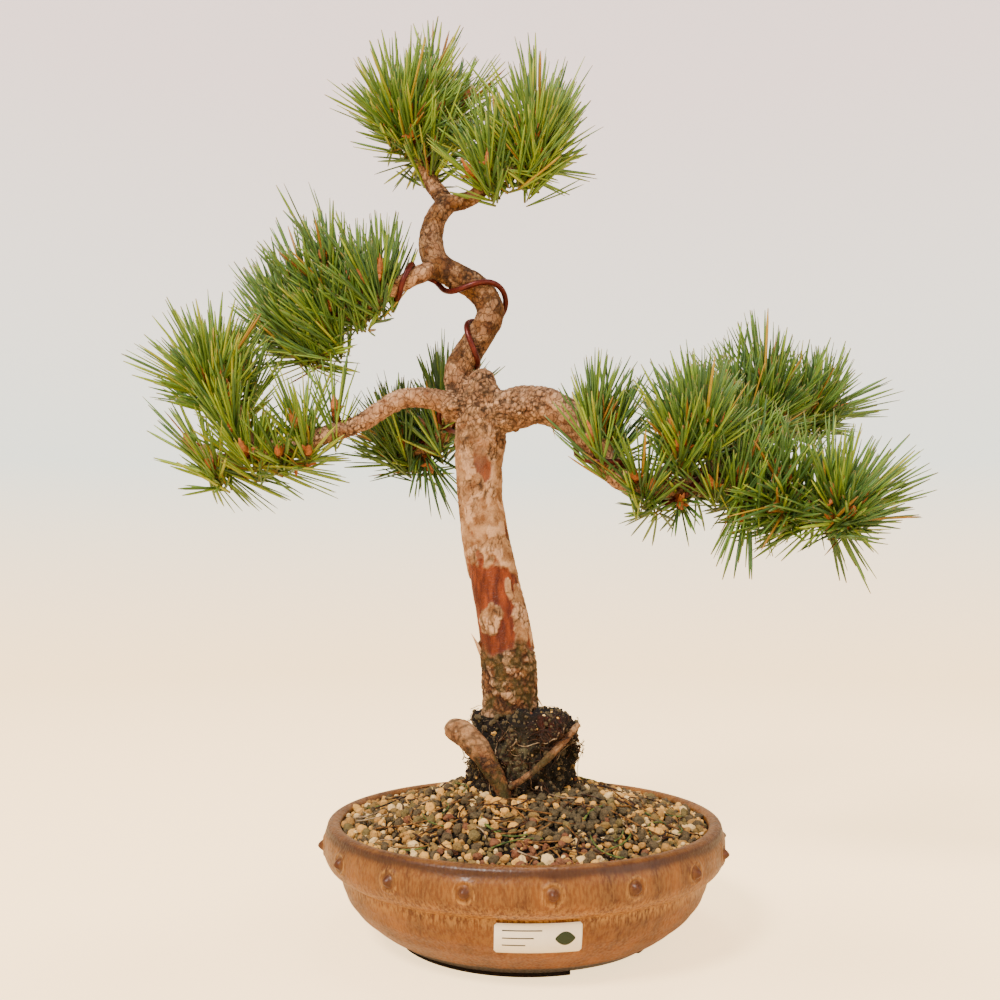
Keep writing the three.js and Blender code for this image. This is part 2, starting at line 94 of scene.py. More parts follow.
def normals_of(piece):
    flat = np.zeros(3 * len(piece.data.vertices), np.float32)
    piece.data.vertex_normals.foreach_get("vector", flat)
    return flat.reshape(-1, 3).astype(float)


def move_points(piece, points):
    piece.data.vertices.foreach_set("co", points.astype(np.float32).ravel())
    piece.data.update()


def unit(v):
    v = np.asarray(v, float)
    return v / np.maximum(np.linalg.norm(v, axis=-1, keepdims=True), 1e-12)


def step_between(low, high, x):
    t = np.clip((x - low) / (high - low), 0, 1)
    return t * t * (3 - 2 * t)


def bell(offset, width):
    """1 where the offset is 0, falling smoothly to nothing some widths away."""
    return np.exp(-((offset / width) ** 2))


def rays_of(piece):
    mesh = piece.data
    return BVHTree.FromPolygons([v.co for v in mesh.vertices], [p.vertices for p in mesh.polygons])


# %% Turned shapes
def turn_profile(profile, segments, closed):
    angles = np.arange(segments) / segments * TURN
    radius = profile[:, None, 0]
    x = radius * np.cos(angles)
    y = radius * np.sin(angles)
    z = np.repeat(profile[:, 1:2], segments, axis=1)
    points = np.stack([x, y, z], axis=-1).reshape(-1, 3)
    rows = len(profile)
    faces = []
    for i in range(rows if closed else rows - 1):
        a, b = i * segments, (i + 1) % rows * segments
        faces += [(a + k, a + (k + 1) % segments, b + (k + 1) % segments, b + k) for k in range(segments)]
    return points, faces


# %% Repeatable noise
def corner_value(cell, seed):
    h = cell[:, 0] * 374761393 + cell[:, 1] * 668265263 + cell[:, 2] * 974634777 + seed * 69069
    h = (h ^ (h >> 13)) * 1274126177 & 0xFFFFFFFF
    return ((h ^ (h >> 16)) & 0xFFFF) / 65535.0


def soft_noise(points, size, seed):
    """Smooth noise from -1 to 1, with lumps about a size across."""
    spot = points / size + 1000.0
    cell = np.floor(spot).astype(np.int64)
    part = spot - cell
    part = part * part * (3 - 2 * part)
    total = np.zeros(len(points))
    for corner in np.ndindex(2, 2, 2):
        weight = np.prod(np.where(corner, part, 1 - part), axis=1)
        total += weight * corner_value(cell + np.array(corner), seed)
    return 2 * total - 1


def layered_noise(points, size, layers, seed):
    """Soft noise with finer and fainter layers added."""
    total = np.zeros(len(points))
    for layer in range(layers):
        total += soft_noise(points, size / 2**layer, seed + layer) / 2**layer
    return total / 1.6


def plate_noise(points, size, seed):
    """Distance to the nearest and second nearest of scattered seeds: plates with cracks between."""
    spot = points / size + 1000.0
    cell = np.floor(spot).astype(np.int64)
    near = np.full(len(points), 9.0)
    next_near = np.full(len(points), 9.0)
    for offset in np.ndindex(3, 3, 3):
        here = cell + np.array(offset) - 1
        seeds = np.stack([corner_value(here, seed + k) for k in range(3)], axis=1)
        gap = np.linalg.norm(here + seeds - spot, axis=1)
        next_near = np.minimum(next_near, np.maximum(near, gap))
        near = np.minimum(near, gap)
    return near, next_near - near


# %% [markdown]
# ## Helpers for finishes
# A material is a small graph of nodes. Effects that several finishes share live in node groups
# with named sockets: patches of two colours, fine grain for bump, and pale worn edges. Four
# short functions put them to use, and the shader itself always stays in the material.

# %% Node helpers
STUDIO_CONTRAST = 1.48


def paper_tone(red, green, blue):
    """A 0 to 255 colour as the linear light that a shader works in."""

    def straight(c):
        c = c / 255
        return c / 12.92 if c <= 0.04045 else ((c + 0.055) / 1.055) ** 2.4

    return (straight(red), straight(green), straight(blue), 1.0)


def srgb(red, green, blue):
    """The same, deepened, because bright lamps and the film curve wash colours out."""
    return tuple(c**STUDIO_CONTRAST for c in paper_tone(red, green, blue)[:3]) + (1.0,)


def feed(tree, socket, value):
    """Join another node's output to a socket, or set the socket to a plain value."""
    if isinstance(value, bpy.types.NodeSocket):
        tree.links.new(value, socket)
    else:
        socket.default_value = value


def add_node(tree, kind, **inputs):
    node = tree.nodes.new(kind)
    for name, value in inputs.items():
        feed(tree, node.inputs[name.replace("_", " ")], value)
    return node


def mix_colors(tree, amount, first, second):
    node = tree.nodes.new("ShaderNodeMix")
    node.data_type = "RGBA"
    for index, value in ((0, amount), (6, first), (7, second)):
        feed(tree, node.inputs[index], value)
    return node.outputs[2]


def calculate(tree, operation, first, second):
    node = tree.nodes.new("ShaderNodeMath")
    node.operation = operation
    node.use_clamp = operation != "SUBTRACT"
    for socket, value in zip(node.inputs, (first, second)):
        feed(tree, socket, value)
    return node.outputs[0]


def fit_range(tree, value, low, high, new_low=0.0, new_high=1.0):
    node = add_node(tree, "ShaderNodeMapRange", Value=value)
    limits = {"From Min": low, "From Max": high, "To Min": new_low, "To Max": new_high}
    for name, number in limits.items():
        node.inputs[name].default_value = number
    return node.outputs["Result"]


def ramp(tree, value, stops, step=False):
    node = add_node(tree, "ShaderNodeValToRGB", Fac=value)
    node.color_ramp.interpolation = "CONSTANT" if step else "LINEAR"
    while len(node.color_ramp.elements) < len(stops):
        node.color_ramp.elements.new(1.0)
    for element, (place, color) in zip(node.color_ramp.elements, stops):
        element.position = place
        element.color = color
    return node.outputs["Color"]


def read_paint(tree, name):
    node = tree.nodes.new("ShaderNodeAttribute")
    node.attribute_name = name
    return node.outputs["Fac"]


def object_place(tree, stretch=(1, 1, 1)):
    place = tree.nodes.new("ShaderNodeTexCoord").outputs["Object"]
    return add_node(tree, "ShaderNodeMapping", Vector=place, Scale=stretch).outputs["Vector"]


def new_group(name, inputs, outputs):
    group = bpy.data.node_groups.new(name, "ShaderNodeTree")
    for title, kind, default in inputs:
        socket = group.interface.new_socket(name=title, in_out="INPUT", socket_type=kind)
        if default is not None:
            socket.default_value = default
    for title, kind in outputs:
        group.interface.new_socket(name=title, in_out="OUTPUT", socket_type=kind)
    return group, group.nodes.new("NodeGroupInput"), group.nodes.new("NodeGroupOutput")


def use_group(tree, group, **inputs):
    node = tree.nodes.new("ShaderNodeGroup")
    node.node_tree = group
    for name, value in inputs.items():
        feed(tree, node.inputs[name.replace("_", " ")], value)
    return node


# %% Shared effects
def patches_group():
    sockets = [
        ("Place", "NodeSocketVector", None),
        ("Scale", "NodeSocketFloat", 100.0),
        ("Edge", "NodeSocketFloat", 0.12),
        ("First", "NodeSocketColor", (0, 0, 0, 1)),
        ("Second", "NodeSocketColor", (1, 1, 1, 1)),
    ]
    outputs = [("Color", "NodeSocketColor"), ("Mask", "NodeSocketFloat")]
    group, inside, outside = new_group("Patches", sockets, outputs)
    noise = add_node(group, "ShaderNodeTexNoise", Vector=inside.outputs[0], Detail=6.0, Roughness=0.6)
    group.links.new(inside.outputs["Scale"], noise.inputs["Scale"])
    low = calculate(group, "SUBTRACT", 0.5, inside.outputs["Edge"])
    high = calculate(group, "ADD", 0.5, inside.outputs["Edge"])
    spread = add_node(group, "ShaderNodeMapRange", Value=noise.outputs[0])
    group.links.new(low, spread.inputs["From Min"])
    group.links.new(high, spread.inputs["From Max"])
    mask = spread.outputs["Result"]
    color = mix_colors(group, mask, inside.outputs["First"], inside.outputs["Second"])
    group.links.new(color, outside.inputs["Color"])
    group.links.new(mask, outside.inputs["Mask"])
    return group


def grain_group():
    sockets = [("Place", "NodeSocketVector", None), ("Scale", "NodeSocketFloat", 900.0)]
    group, inside, outside = new_group("Fine Grain", sockets, [("Height", "NodeSocketFloat")])
    broad = add_node(group, "ShaderNodeTexNoise", Vector=inside.outputs["Place"], Detail=8.0)
    group.links.new(inside.outputs["Scale"], broad.inputs["Scale"])
    pits = add_node(group, "ShaderNodeTexVoronoi", Vector=inside.outputs["Place"])
    group.links.new(inside.outputs["Scale"], pits.inputs["Scale"])
    height = calculate(group, "MULTIPLY", broad.outputs[0], pits.outputs["Distance"])
    group.links.new(height, outside.inputs["Height"])
    return group


def worn_edges_group():
    sockets = [("Sharpness", "NodeSocketFloat", 0.03)]
    group, inside, outside = new_group("Worn Edges", sockets, [("Mask", "NodeSocketFloat")])
    shape = group.nodes.new("ShaderNodeNewGeometry").outputs["Pointiness"]
    top = calculate(group, "ADD", 0.5, inside.outputs["Sharpness"])
    spread = add_node(group, "ShaderNodeMapRange", Value=shape)
    spread.inputs["From Min"].default_value = 0.505
    group.links.new(top, spread.inputs["From Max"])
    group.links.new(spread.outputs["Result"], outside.inputs["Mask"])
    return group


patches = patches_group()
fine_grain = grain_group()
worn_edges = worn_edges_group()
print("shared effects:", [g.name for g in (patches, fine_grain, worn_edges)])


# %% A material's frame
def new_finish(name, metallic=0.0, coat=0.0, specular=0.5, coat_roughness=0.2):
    material = bpy.data.materials.new(name)
    material.use_nodes = True
    tree = material.node_tree
    shader = tree.nodes["Principled BSDF"]
    shader.inputs["Metallic"].default_value = metallic
    shader.inputs["Coat Weight"].default_value = coat
    shader.inputs["Coat Roughness"].default_value = coat_roughness
    shader.inputs["Specular IOR Level"].default_value = specular
    return material, tree, shader


def set_surface(tree, shader, color, roughness, height, depth):
    tree.links.new(color, shader.inputs["Base Color"])
    tree.links.new(roughness, shader.inputs["Roughness"])
    bump = add_node(tree, "ShaderNodeBump", Height=height, Distance=depth)
    bump.inputs["Strength"].default_value = 0.8
    tree.links.new(bump.outputs["Normal"], shader.inputs["Normal"])


def grainy_surface(tree, shader, color, place, scale, roughness, depth):
    """Fine grain drives both the bump and the range of roughness."""
    grain = use_group(tree, fine_grain, Place=place, Scale=scale).outputs["Height"]
    set_surface(tree, shader, color, fit_range(tree, grain, 0.0, 0.5, *roughness), grain, depth)


def two_tones(tree, place, scale, edge, first, second):
    """Soft patches of two colours."""
    tones = use_group(tree, patches, Place=place, Scale=scale, Edge=edge, First=first, Second=second)
    return tones.outputs["Color"]


def stain(tree, color, place, scale, edge, share, tint):
    """Patches of one more colour, as strong as a share, which may be painted on the points."""
    mask = use_group(tree, patches, Place=place, Scale=scale, Edge=edge).outputs["Mask"]
    return mix_colors(tree, calculate(tree, "MULTIPLY", mask, share), color, tint)


def wear(tree, color, sharpness, strength, bared):
    """Edges rubbed to a paler colour."""
    mask = use_group(tree, worn_edges, Sharpness=sharpness).outputs["Mask"]
    return mix_colors(tree, calculate(tree, "MULTIPLY", mask, strength), color, bared)


# %% [markdown]
# ## Camera, floor and light
# The tree is seen from just above its rim, looking slightly up, so the bowl's far lip shows as
# a thin ellipse. A round sweep of pale paper rises from the floor all round it, and soft lamps
# leave only a faint shadow. The paper looks brighter than the light it throws on the tree, so
# that the ground stays pale while the tree keeps its depth of colour.

# %% Camera
CAMERA_BACK = 0.528
CAMERA_HEIGHT = 0.1737
CAMERA_SIDE = -0.01225
LOOKS_UP = math.radians(5.03)
lens = bpy.data.cameras.new("front_camera")
lens.lens = 36
lens.sensor_width = 36
camera = bpy.data.objects.new("front_camera", lens)
camera.location = (CAMERA_SIDE, -CAMERA_BACK, CAMERA_HEIGHT)
camera.rotation_euler = (math.pi / 2 + LOOKS_UP, 0, 0)
bpy.context.scene.collection.objects.link(camera)
bpy.context.scene.camera = camera
print("camera at", tuple(round(v, 4) for v in camera.location))


# %% Paper sweep
PAPER_GLOW = 0.42
PAPER_GLOW_SEEN = 2.5
SWEEP_SEGMENTS = 96


def paper_finish():
    material, tree, shader = new_finish("backdrop_paper", specular=0.1)
    height = add_node(tree, "ShaderNodeSeparateXYZ", Vector=object_place(tree)).outputs["Z"]
    share = fit_range(tree, height, 0.0, 1.7)
    floor_tone = paper_tone(255, 220, 168)
    horizon_tone = paper_tone(198, 203, 194)
    high_tone = paper_tone(206, 190, 186)
    tone = ramp(tree, share, [(0.0, floor_tone), (0.3, horizon_tone), (1.0, high_tone)])
    tree.links.new(tone, shader.inputs["Base Color"])
    tree.links.new(tone, shader.inputs["Emission Color"])
    seen = add_node(tree, "ShaderNodeLightPath").outputs["Is Camera Ray"]
    glow = fit_range(tree, seen, 0.0, 1.0, PAPER_GLOW, PAPER_GLOW_SEEN)
    tree.links.new(glow, shader.inputs["Emission Strength"])
    shader.inputs["Roughness"].default_value = 0.9
    return material


def paper_sweep():
    level, bend, top = 1.6, 0.9, 3.2
    outline = [(0.001, 0.0), (0.5 * level, 0.0)]
    for i in range(25):
        angle = i / 24 * math.pi / 2
        outline.append((level + bend * math.sin(angle), bend * (1 - math.cos(angle))))
    outline.append((level + bend, top))
    points, faces = turn_profile(np.array(outline), SWEEP_SEGMENTS, closed=False)
    mesh = bpy.data.meshes.new("paper_sweep")
    middle_disk = tuple(range(SWEEP_SEGMENTS - 1, -1, -1))
    mesh.from_pydata(points.tolist(), [], faces + [middle_disk])
    mesh.polygons.foreach_set("use_smooth", [True] * len(mesh.polygons))
    mesh.materials.append(paper_finish())
    sweep = bpy.data.objects.new("paper_sweep", mesh)
    bpy.context.scene.collection.objects.link(sweep)
    return sweep


paper_sweep()


# %% Lamps
def soft_lamp(name, place, aim, size, power, tint):
    data = bpy.data.lights.new(name, "AREA")
    data.shape = "DISK"
    data.size = size
    data.energy = power
    data.color = tint
    lamp = bpy.data.objects.new(name, data)
    lamp.location = place
    lamp.rotation_euler = (Vector(aim) - Vector(place)).to_track_quat("-Z", "Y").to_euler()
    bpy.context.scene.collection.objects.link(lamp)


middle = (0, 0, 0.22)
soft_lamp("key_lamp", (-0.8, -1.2, 1.5), middle, 0.5, 56, (1.0, 0.97, 0.93))
soft_lamp("fill_lamp", (1.3, -0.9, 0.8), middle, 1.4, 9, (0.95, 0.97, 1.0))
soft_lamp("top_lamp", (0.1, 0.3, 1.9), middle, 0.7, 20, (1.0, 1.0, 1.0))
world = bpy.data.worlds.new("studio_air")
bpy.context.scene.world = world
world.use_nodes = True
world.node_tree.nodes["Background"].inputs["Color"].default_value = (1.0, 0.97, 0.94, 1)
world.node_tree.nodes["Background"].inputs["Strength"].default_value = 0.12
print("lamps set")


# %% [markdown]
# ## The bowl
# A thrown stoneware bowl has a rounded lip, a band of clay bosses pressed on under it, and a
# thin belt where the wall turns in. The imported bowl is faceted, so its wall is measured with
# rays and turned again with many more rings. The bosses are pushed out of the wall itself, and
# each gets a pale ring that is partly thin glaze and partly a painted highlight. The lip's top
# is kept lighter than the dark rim, as a painted highlight.

# %% Measure the imported bowl
BOSS_COUNT = 17
FIRST_BOSS = math.radians(-84.5)
BOSS_RADIUS = 2.9 * MM
BOSS_STANDS_OUT = 3.0 * MM
BOSS_RING = 4.6 * MM
BOSS_GROOVE = 3.4 * MM
WALL = 6.8 * MM
FOOT_HEIGHT = 3.0 * MM
LIP_ROUND = 2.6 * MM
BELT_HEIGHT = 34.0 * MM
BASE_LINE = 9.0 * MM
BOSS_BELOW_RIM = 10.8 * MM
bowl_rays = rays_of(nodes["pot"])
rim_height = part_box("pot")[1].z
boss_height = rim_height - BOSS_BELOW_RIM
between_bosses = FIRST_BOSS + TURN / BOSS_COUNT / 2


def wall_radius(height):
    side = Vector((math.cos(between_bosses), math.sin(between_bosses), 0))
    hit = bowl_rays.ray_cast(side * 0.3 + Vector((0, 0, height)), -side)[0]
    return math.hypot(hit.x, hit.y)


wall_heights = np.linspace(FOOT_HEIGHT + 0.2 * MM, rim_height - LIP_ROUND, 84)
raw_radii = np.array([wall_radius(z) for z in wall_heights])
padded_radii = np.pad(raw_radii, 3, mode="edge")
wall_radii = np.convolve(padded_radii, np.ones(7) / 7, mode="valid")
wall_radii[:3] = raw_radii[:3]
wall_radii[-3:] = raw_radii[-3:]
rim_radius = raw_radii[-1]
drain_radius = 9.0 * MM
inner_floor = 10.0 * MM
print("rim radius", round(rim_radius / MM, 1), "mm, height", round(rim_height / MM, 1), "mm")


# %% Turn the bowl
def bowl_profile():
    """Outside first, as (radius, height), from the drain hole out, up, over the lip and in."""
    outline = [(r, FOOT_HEIGHT) for r in np.linspace(drain_radius, wall_radii[0] - 1.5 * MM, 12)]
    outline += list(zip(wall_radii, wall_heights))
    lip_middle = rim_radius - WALL / 2
    for i in range(1, 12):
        angle = i / 12 * math.pi
        across = WALL / 2 * math.cos(angle)
        outline.append((lip_middle + across, rim_height - LIP_ROUND * (1 - math.sin(angle))))
    for z, r in list(zip(wall_heights, wall_radii))[::-3]:
        if z > inner_floor:
            outline.append((r - WALL, z))
    outline += [(r, inner_floor) for r in np.linspace(wall_radii[12] - WALL - 2 * MM, drain_radius, 10)]
    outline += [(drain_radius, z) for z in np.linspace(inner_floor, FOOT_HEIGHT, 5)[1:-1]]
    return np.array(outline)


def boss_field(points):
    """Relief of the bosses on the outer wall, and masks of their pale rings (thin glaze and a painted
    highlight) and brown tips.
    """
    angle = np.arctan2(points[:, 1], points[:, 0]) - FIRST_BOSS
    pitch = TURN / BOSS_COUNT
    off = (angle / pitch - np.round(angle / pitch)) * pitch * rim_radius
    away = np.hypot(off, points[:, 2] - boss_height)
    share = np.clip(away / BOSS_RADIUS, 0, 1)
    cone = BOSS_STANDS_OUT * (1 - share**1.7)
    ring = bell(away - BOSS_RING, 0.9 * MM)
    groove = bell(away - BOSS_GROOVE, 0.5 * MM)
    return cone + 0.55 * MM * ring - 0.25 * MM * groove, ring, 1 - step_between(0.7, 1.1, share)


def glazed_clay():
    material, tree, shader = new_finish("brown_glaze", coat=0.08, coat_roughness=0.3, specular=0.35)
    place = object_place(tree)
    runs = object_place(tree, (1, 1, 0.16))
    base = two_tones(tree, runs, 120.0, 0.16, srgb(92, 54, 16), srgb(172, 122, 54))
    clouds = two_tones(tree, place, 34.0, 0.2, srgb(108, 66, 22), srgb(172, 120, 52))
    color = mix_colors(tree, 0.45, base, clouds)
    fine_runs = object_place(tree, (1, 1, 0.3))
    # Pale specks gather by the belt, where the glaze ran thin, and on the ring round each boss, where they
    # are partly a painted highlight.
    speck_share = calculate(tree, "MAXIMUM", read_paint(tree, "pale_glaze_and_highlight"), 0.22)
    color = stain(tree, color, fine_runs, 900.0, 0.09, speck_share, srgb(206, 168, 110))
    color = mix_colors(tree, read_paint(tree, "tip"), color, srgb(104, 58, 28))
    # Darker glaze round the rim, left lighter on the lip's top as a painted highlight.
    color = mix_colors(tree, read_paint(tree, "lip"), color, srgb(84, 50, 28))
    color = mix_colors(tree, read_paint(tree, "bare"), color, srgb(54, 36, 30))
    grainy_surface(tree, shader, color, place, 700.0, (0.3, 0.58), 0.25 * MM)
    return material


def make_bowl():
    points, faces = turn_profile(bowl_profile(), 720, closed=True)
    radius = np.hypot(points[:, 0], points[:, 1])
    outward = points * (1, 1, 0) / np.maximum(radius, 1e-9)[:, None]
    height = points[:, 2]
    low = np.interp(height, wall_heights, wall_radii) - 1.0 * MM
    outer = (radius > low) & (height < rim_height - LIP_ROUND)
    bosses, ring, tip = boss_field(points)
    belt = bell(height - BELT_HEIGHT, 0.6 * MM) + 0.6 * bell(height - BASE_LINE, 0.5 * MM)
    ripples = 0.12 * MM * np.sin(height / (1.1 * MM)) + 0.25 * MM * soft_noise(points, 20 * MM, 3)
    push = np.where(outer, bosses + ripples - 0.8 * MM * belt, 0)
    pushed = points + outward * push[:, None]
    shell = make_piece("glazed_bowl", pushed, faces, glazed_clay(), ["pot"])
    wavy = 0.8 * MM * soft_noise(points, 14 * MM, 8)
    near_rim = step_between(rim_height - 6 * MM, rim_height - 3.2 * MM, height + wavy)
    near_rim *= step_between(rim_radius - 4 * MM, rim_radius - 2 * MM, radius)
    above = bell(np.maximum(height - BELT_HEIGHT, 0), 7 * MM)
    below = bell(np.maximum(BELT_HEIGHT - height, 0), 4.5 * MM)
    bare = 1 - step_between(FOOT_HEIGHT + 3.2 * MM, FOOT_HEIGHT + 5 * MM, height + 0.6 * wavy)
    bare *= (radius > 20 * MM) * (height < inner_floor - 1 * MM)
    # The dark rim colour is held back on the lip's top as a painted highlight.
    painted_lip_highlight = step_between(rim_height - 1.7 * MM, rim_height - 0.4 * MM, height)
    paint_points(shell, "lip", 0.85 * near_rim * (1 - 0.6 * painted_lip_highlight))
    # By the belt the glaze runs thin; the pale ring round each boss is partly thin glaze and partly a
    # painted highlight.
    paint_points(shell, "pale_glaze_and_highlight", np.where(outer, np.clip(0.6 * ring + 0.9 * above * below, 0, 1), 0))
    paint_points(shell, "tip", np.where(outer, 0.8 * tip, 0))
    paint_points(shell, "bare", 0.92 * bare)


make_bowl()


# %% [markdown]
# ## The feet
# The foot ring is cut into three, so water runs out from under the bowl. The clay there is
# bare: dark, dry and a little chipped.

# %% Cut feet
FOOT_RADIUS = 64.5 * MM
FOOT_WIDTH = 12 * MM
FOOT_ARC = math.radians(80)
FIRST_FOOT = math.radians(-112.5)
FOOT_COUNT = 3


def bare_clay():
    material, tree, shader = new_finish("bare_clay", specular=0.25)
    place = object_place(tree)
    base = two_tones(tree, place, 260.0, 0.2, srgb(38, 28, 24), srgb(66, 48, 38))
    color = wear(tree, base, 0.08, 0.5, srgb(110, 84, 66))
    grainy_surface(tree, shader, color, place, 1100.0, (0.75, 0.95), 0.35 * MM)
    return material


clay = bare_clay()


def make_foot(index):
    middle_angle = FIRST_FOOT + index / FOOT_COUNT * TURN
    steps, sides = 60, 16
    section = []
    for i in range(sides):
        angle = i / sides * TURN
        across = math.copysign(abs(math.cos(angle)) ** 0.4, math.cos(angle))
        up = math.copysign(abs(math.sin(angle)) ** 0.4, math.sin(angle))
        section.append((FOOT_RADIUS - FOOT_WIDTH / 2 * (1 - across), FOOT_HEIGHT * (0.5 + 0.5 * up)))
    points = []
    for k in range(steps + 1):
        turn = middle_angle + FOOT_ARC * (k / steps - 0.5)
        points += [(r * math.cos(turn), r * math.sin(turn), z) for r, z in section]
    last = steps * sides
    faces = [tuple(range(sides - 1, -1, -1)), tuple(range(last, last + sides))]
    for k in range(0, last, sides):
        for i in range(sides):
            j = (i + 1) % sides
            faces.append((k + i, k + j, k + sides + j, k + sides + i))
    return make_piece(f"foot_{index + 1}", points, faces, clay, ["pot"])


for foot_index in range(FOOT_COUNT):
    make_foot(foot_index)


# %% [markdown]
# ## The sticker
# A nursery puts a small paper sticker under the belt. This one carries only a leaf and a few
# ruled lines. The paper follows the curved wall, so each point takes the wall's own radius.

# %% Paper sticker and its print
def printed_paper(name, ink):
    material, tree, shader = new_finish(name, specular=0.3)
    place = object_place(tree)
    tone = two_tones(tree, place, 420.0, 0.3, ink, tuple(min(1.0, 1.1 * c) for c in ink))
    grainy_surface(tree, shader, tone, place, 2600.0, (0.55, 0.75), 0.05 * MM)
    return material


sticker_low, sticker_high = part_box("sticker")
sticker_turn = math.radians(-87.5)
sticker_half = (sticker_high.x - sticker_low.x) / 2 - 0.4 * MM
sticker_middle = (sticker_high.z + sticker_low.z) / 2
sticker_tall = (sticker_high.z - sticker_low.z) / 2 - 0.3 * MM


def on_wall(across, up, lift):
    """A point on the bowl's wall beside the sticker's middle, lifted off it."""
    height = sticker_middle + up
    radius = float(np.interp(height, wall_heights, wall_radii)) + lift
    angle = sticker_turn + across / radius
    return (radius * math.cos(angle), radius * math.sin(angle), height)


def wall_patch(name, outline, lift, material, replaced=()):
    """A thin closed plate on the wall, from columns of (across, low, high)."""
    points, faces = [], []
    rows = 8
    for layer in (0.0, 0.25 * MM):
        for across, low, high in outline:
            points += [on_wall(across, low + (high - low) * k / rows, lift + layer) for k in range(rows + 1)]
    columns = len(outline)
    back = columns * (rows + 1)
    for c in range(columns - 1):
        for k in range(rows):
            a, b = c * (rows + 1) + k, (c + 1) * (rows + 1) + k
            faces += [(a, a + 1, b + 1, b), (back + a, back + b, back + b + 1, back + a + 1)]
        a, b = c * (rows + 1), (c + 1) * (rows + 1)
        faces += [(a, b, back + b, back + a), (a + rows, back + a + rows, back + b + rows, b + rows)]
    for k in range(rows):
        a, b = k, (columns - 1) * (rows + 1) + k
        faces += [(a, back + a, back + a + 1, a + 1), (b, b + 1, back + b + 1, back + b)]
    return make_piece(name, points, faces, material, replaced)


def rounded_columns(half, tall, corner):
    columns = []
    for x in np.linspace(-half, half, 40):
        past = max(0.0, abs(x) - (half - corner))
        up = tall - corner + math.sqrt(max(corner**2 - past**2, 0.0))
        columns.append((x, -up, up))
    return columns


paper = printed_paper("sticker_paper", paper_tone(250, 240, 222))
ink = printed_paper("sticker_ink", srgb(52, 54, 56))
leaf_ink = printed_paper("leaf_ink", srgb(74, 92, 70))
PAPER_LIFT = 0.35 * MM
INK_LIFT = 0.45 * MM
LINE_START = -15.5 * MM
LINE_THICK = 0.45 * MM
sheet = rounded_columns(sticker_half, sticker_tall, 1.2 * MM)
wall_patch("sticker_sheet", sheet, PAPER_LIFT, paper, ["sticker"])
for line in range(3):
    up = (3.6 - 3.4 * line) * MM
    length = (17 - 3.5 * line) * MM
    spans = [(x, up, up + LINE_THICK) for x in np.linspace(LINE_START, LINE_START + length, 14)]
    wall_patch(f"ruled_line_{line + 1}", spans, INK_LIFT, ink)
leaf = []
for share in np.linspace(0.02, 0.98, 18):
    swell = 3.2 * MM * math.sin(math.pi * share) ** 0.8
    leaf.append((7 * MM + 9 * MM * share, -swell, swell))
wall_patch("leaf_mark", leaf, INK_LIFT, leaf_ink)

# %% [markdown]
# ## Drain screen and staple
# Under the soil a plastic mesh covers the drain hole, held by a bent wire. Both keep their
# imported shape, because it is already right, and only get a finish.

# %% Wire and plastic
def anodised_metal():
    material, tree, shader = new_finish("anodised_wire", metallic=0.5)
    place = object_place(tree)
    tone = two_tones(tree, place, 300.0, 0.25, srgb(92, 36, 28), srgb(138, 64, 50))
    color = wear(tree, tone, 0.1, 0.25, srgb(150, 96, 80))
    grainy_surface(tree, shader, color, place, 1300.0, (0.28, 0.5), 0.08 * MM)
    return material


def screen_plastic():
    material, tree, shader = new_finish("screen_plastic")
    place = object_place(tree)
    tone = two_tones(tree, place, 500.0, 0.2, srgb(24, 34, 28), srgb(44, 56, 48))
    grainy_surface(tree, shader, tone, place, 1500.0, (0.5, 0.75), 0.1 * MM)
    return material


metal = anodised_metal()
plastic = screen_plastic()
for name, material in (("drain_screen", plastic), ("screen_staple", metal)):
    nodes[name].data.materials.clear()
    nodes[name].data.materials.append(material)
    print(name, "keeps its packed shape")

# %% [markdown]
# ## Loose threads
# Roots, fallen needles, twigs and the living needles are all thin tapering tubes. One function
# makes a batch of them from their middle lines, so that thousands become one mesh.

# %% Batch of thin tubes
def frames_along(lines):
    """Two directions across each line of a batch shaped (count, steps, 3)."""
    along = unit(np.gradient(lines, axis=1))
    aside = np.cross(along, np.array([0.31, 0.17, 0.94]))
    weak = np.linalg.norm(aside, axis=-1, keepdims=True) < 0.15
    aside = unit(np.where(weak, np.cross(along, np.array([1.0, 0.0, 0.0])), aside))
    return aside, np.cross(along, aside)


def tube_batch(lines, widths, sides, flat=1.0, spin=None):
    """Points and faces of closed tubes: widths is (count, steps), the radius at each ring."""
    count, steps = lines.shape[:2]
    aside, across = frames_along(lines)
    if spin is not None:
        c, s = np.cos(spin)[:, None, None], np.sin(spin)[:, None, None]
        aside, across = aside * c + across * s, across * c - aside * s
    rings = []
    for side in range(sides):
        angle = side / sides * TURN
        ring = aside * math.cos(angle) + across * (flat * math.sin(angle))
        rings.append(lines + ring * widths[..., None])
    points = np.stack(rings, axis=2).reshape(-1, 3)
    one = []
    for k in range(steps - 1):
        for side in range(sides):
            nxt = (side + 1) % sides
            one.append((k * sides + side, k * sides + nxt, (k + 1) * sides + nxt, (k + 1) * sides + side))
    one = np.array(one)
    starts = np.arange(count)[:, None, None] * steps * sides
    faces = (one[None] + starts).reshape(-1, 4).tolist()
    cap = np.arange(sides)
    last = (steps - 1) * sides
    for start in range(0, count * steps * sides, steps * sides):
        faces.append((start + cap[::-1]).tolist())
        faces.append((start + last + cap).tolist())
    return points, faces


def per_ring(values, steps, sides):
    return np.repeat(values, steps * sides)


# %% [markdown]
# ## Soil
# The bed is coarse pumice and lava with some clay grains. A rough ground lies beneath, dark earth
# painted darker still as the shade in the gaps between grains, and single grains lie on it, each
# one a lumpy pebble turned its own way. A dozen pebble shapes are enough, because no two show the
# same side.

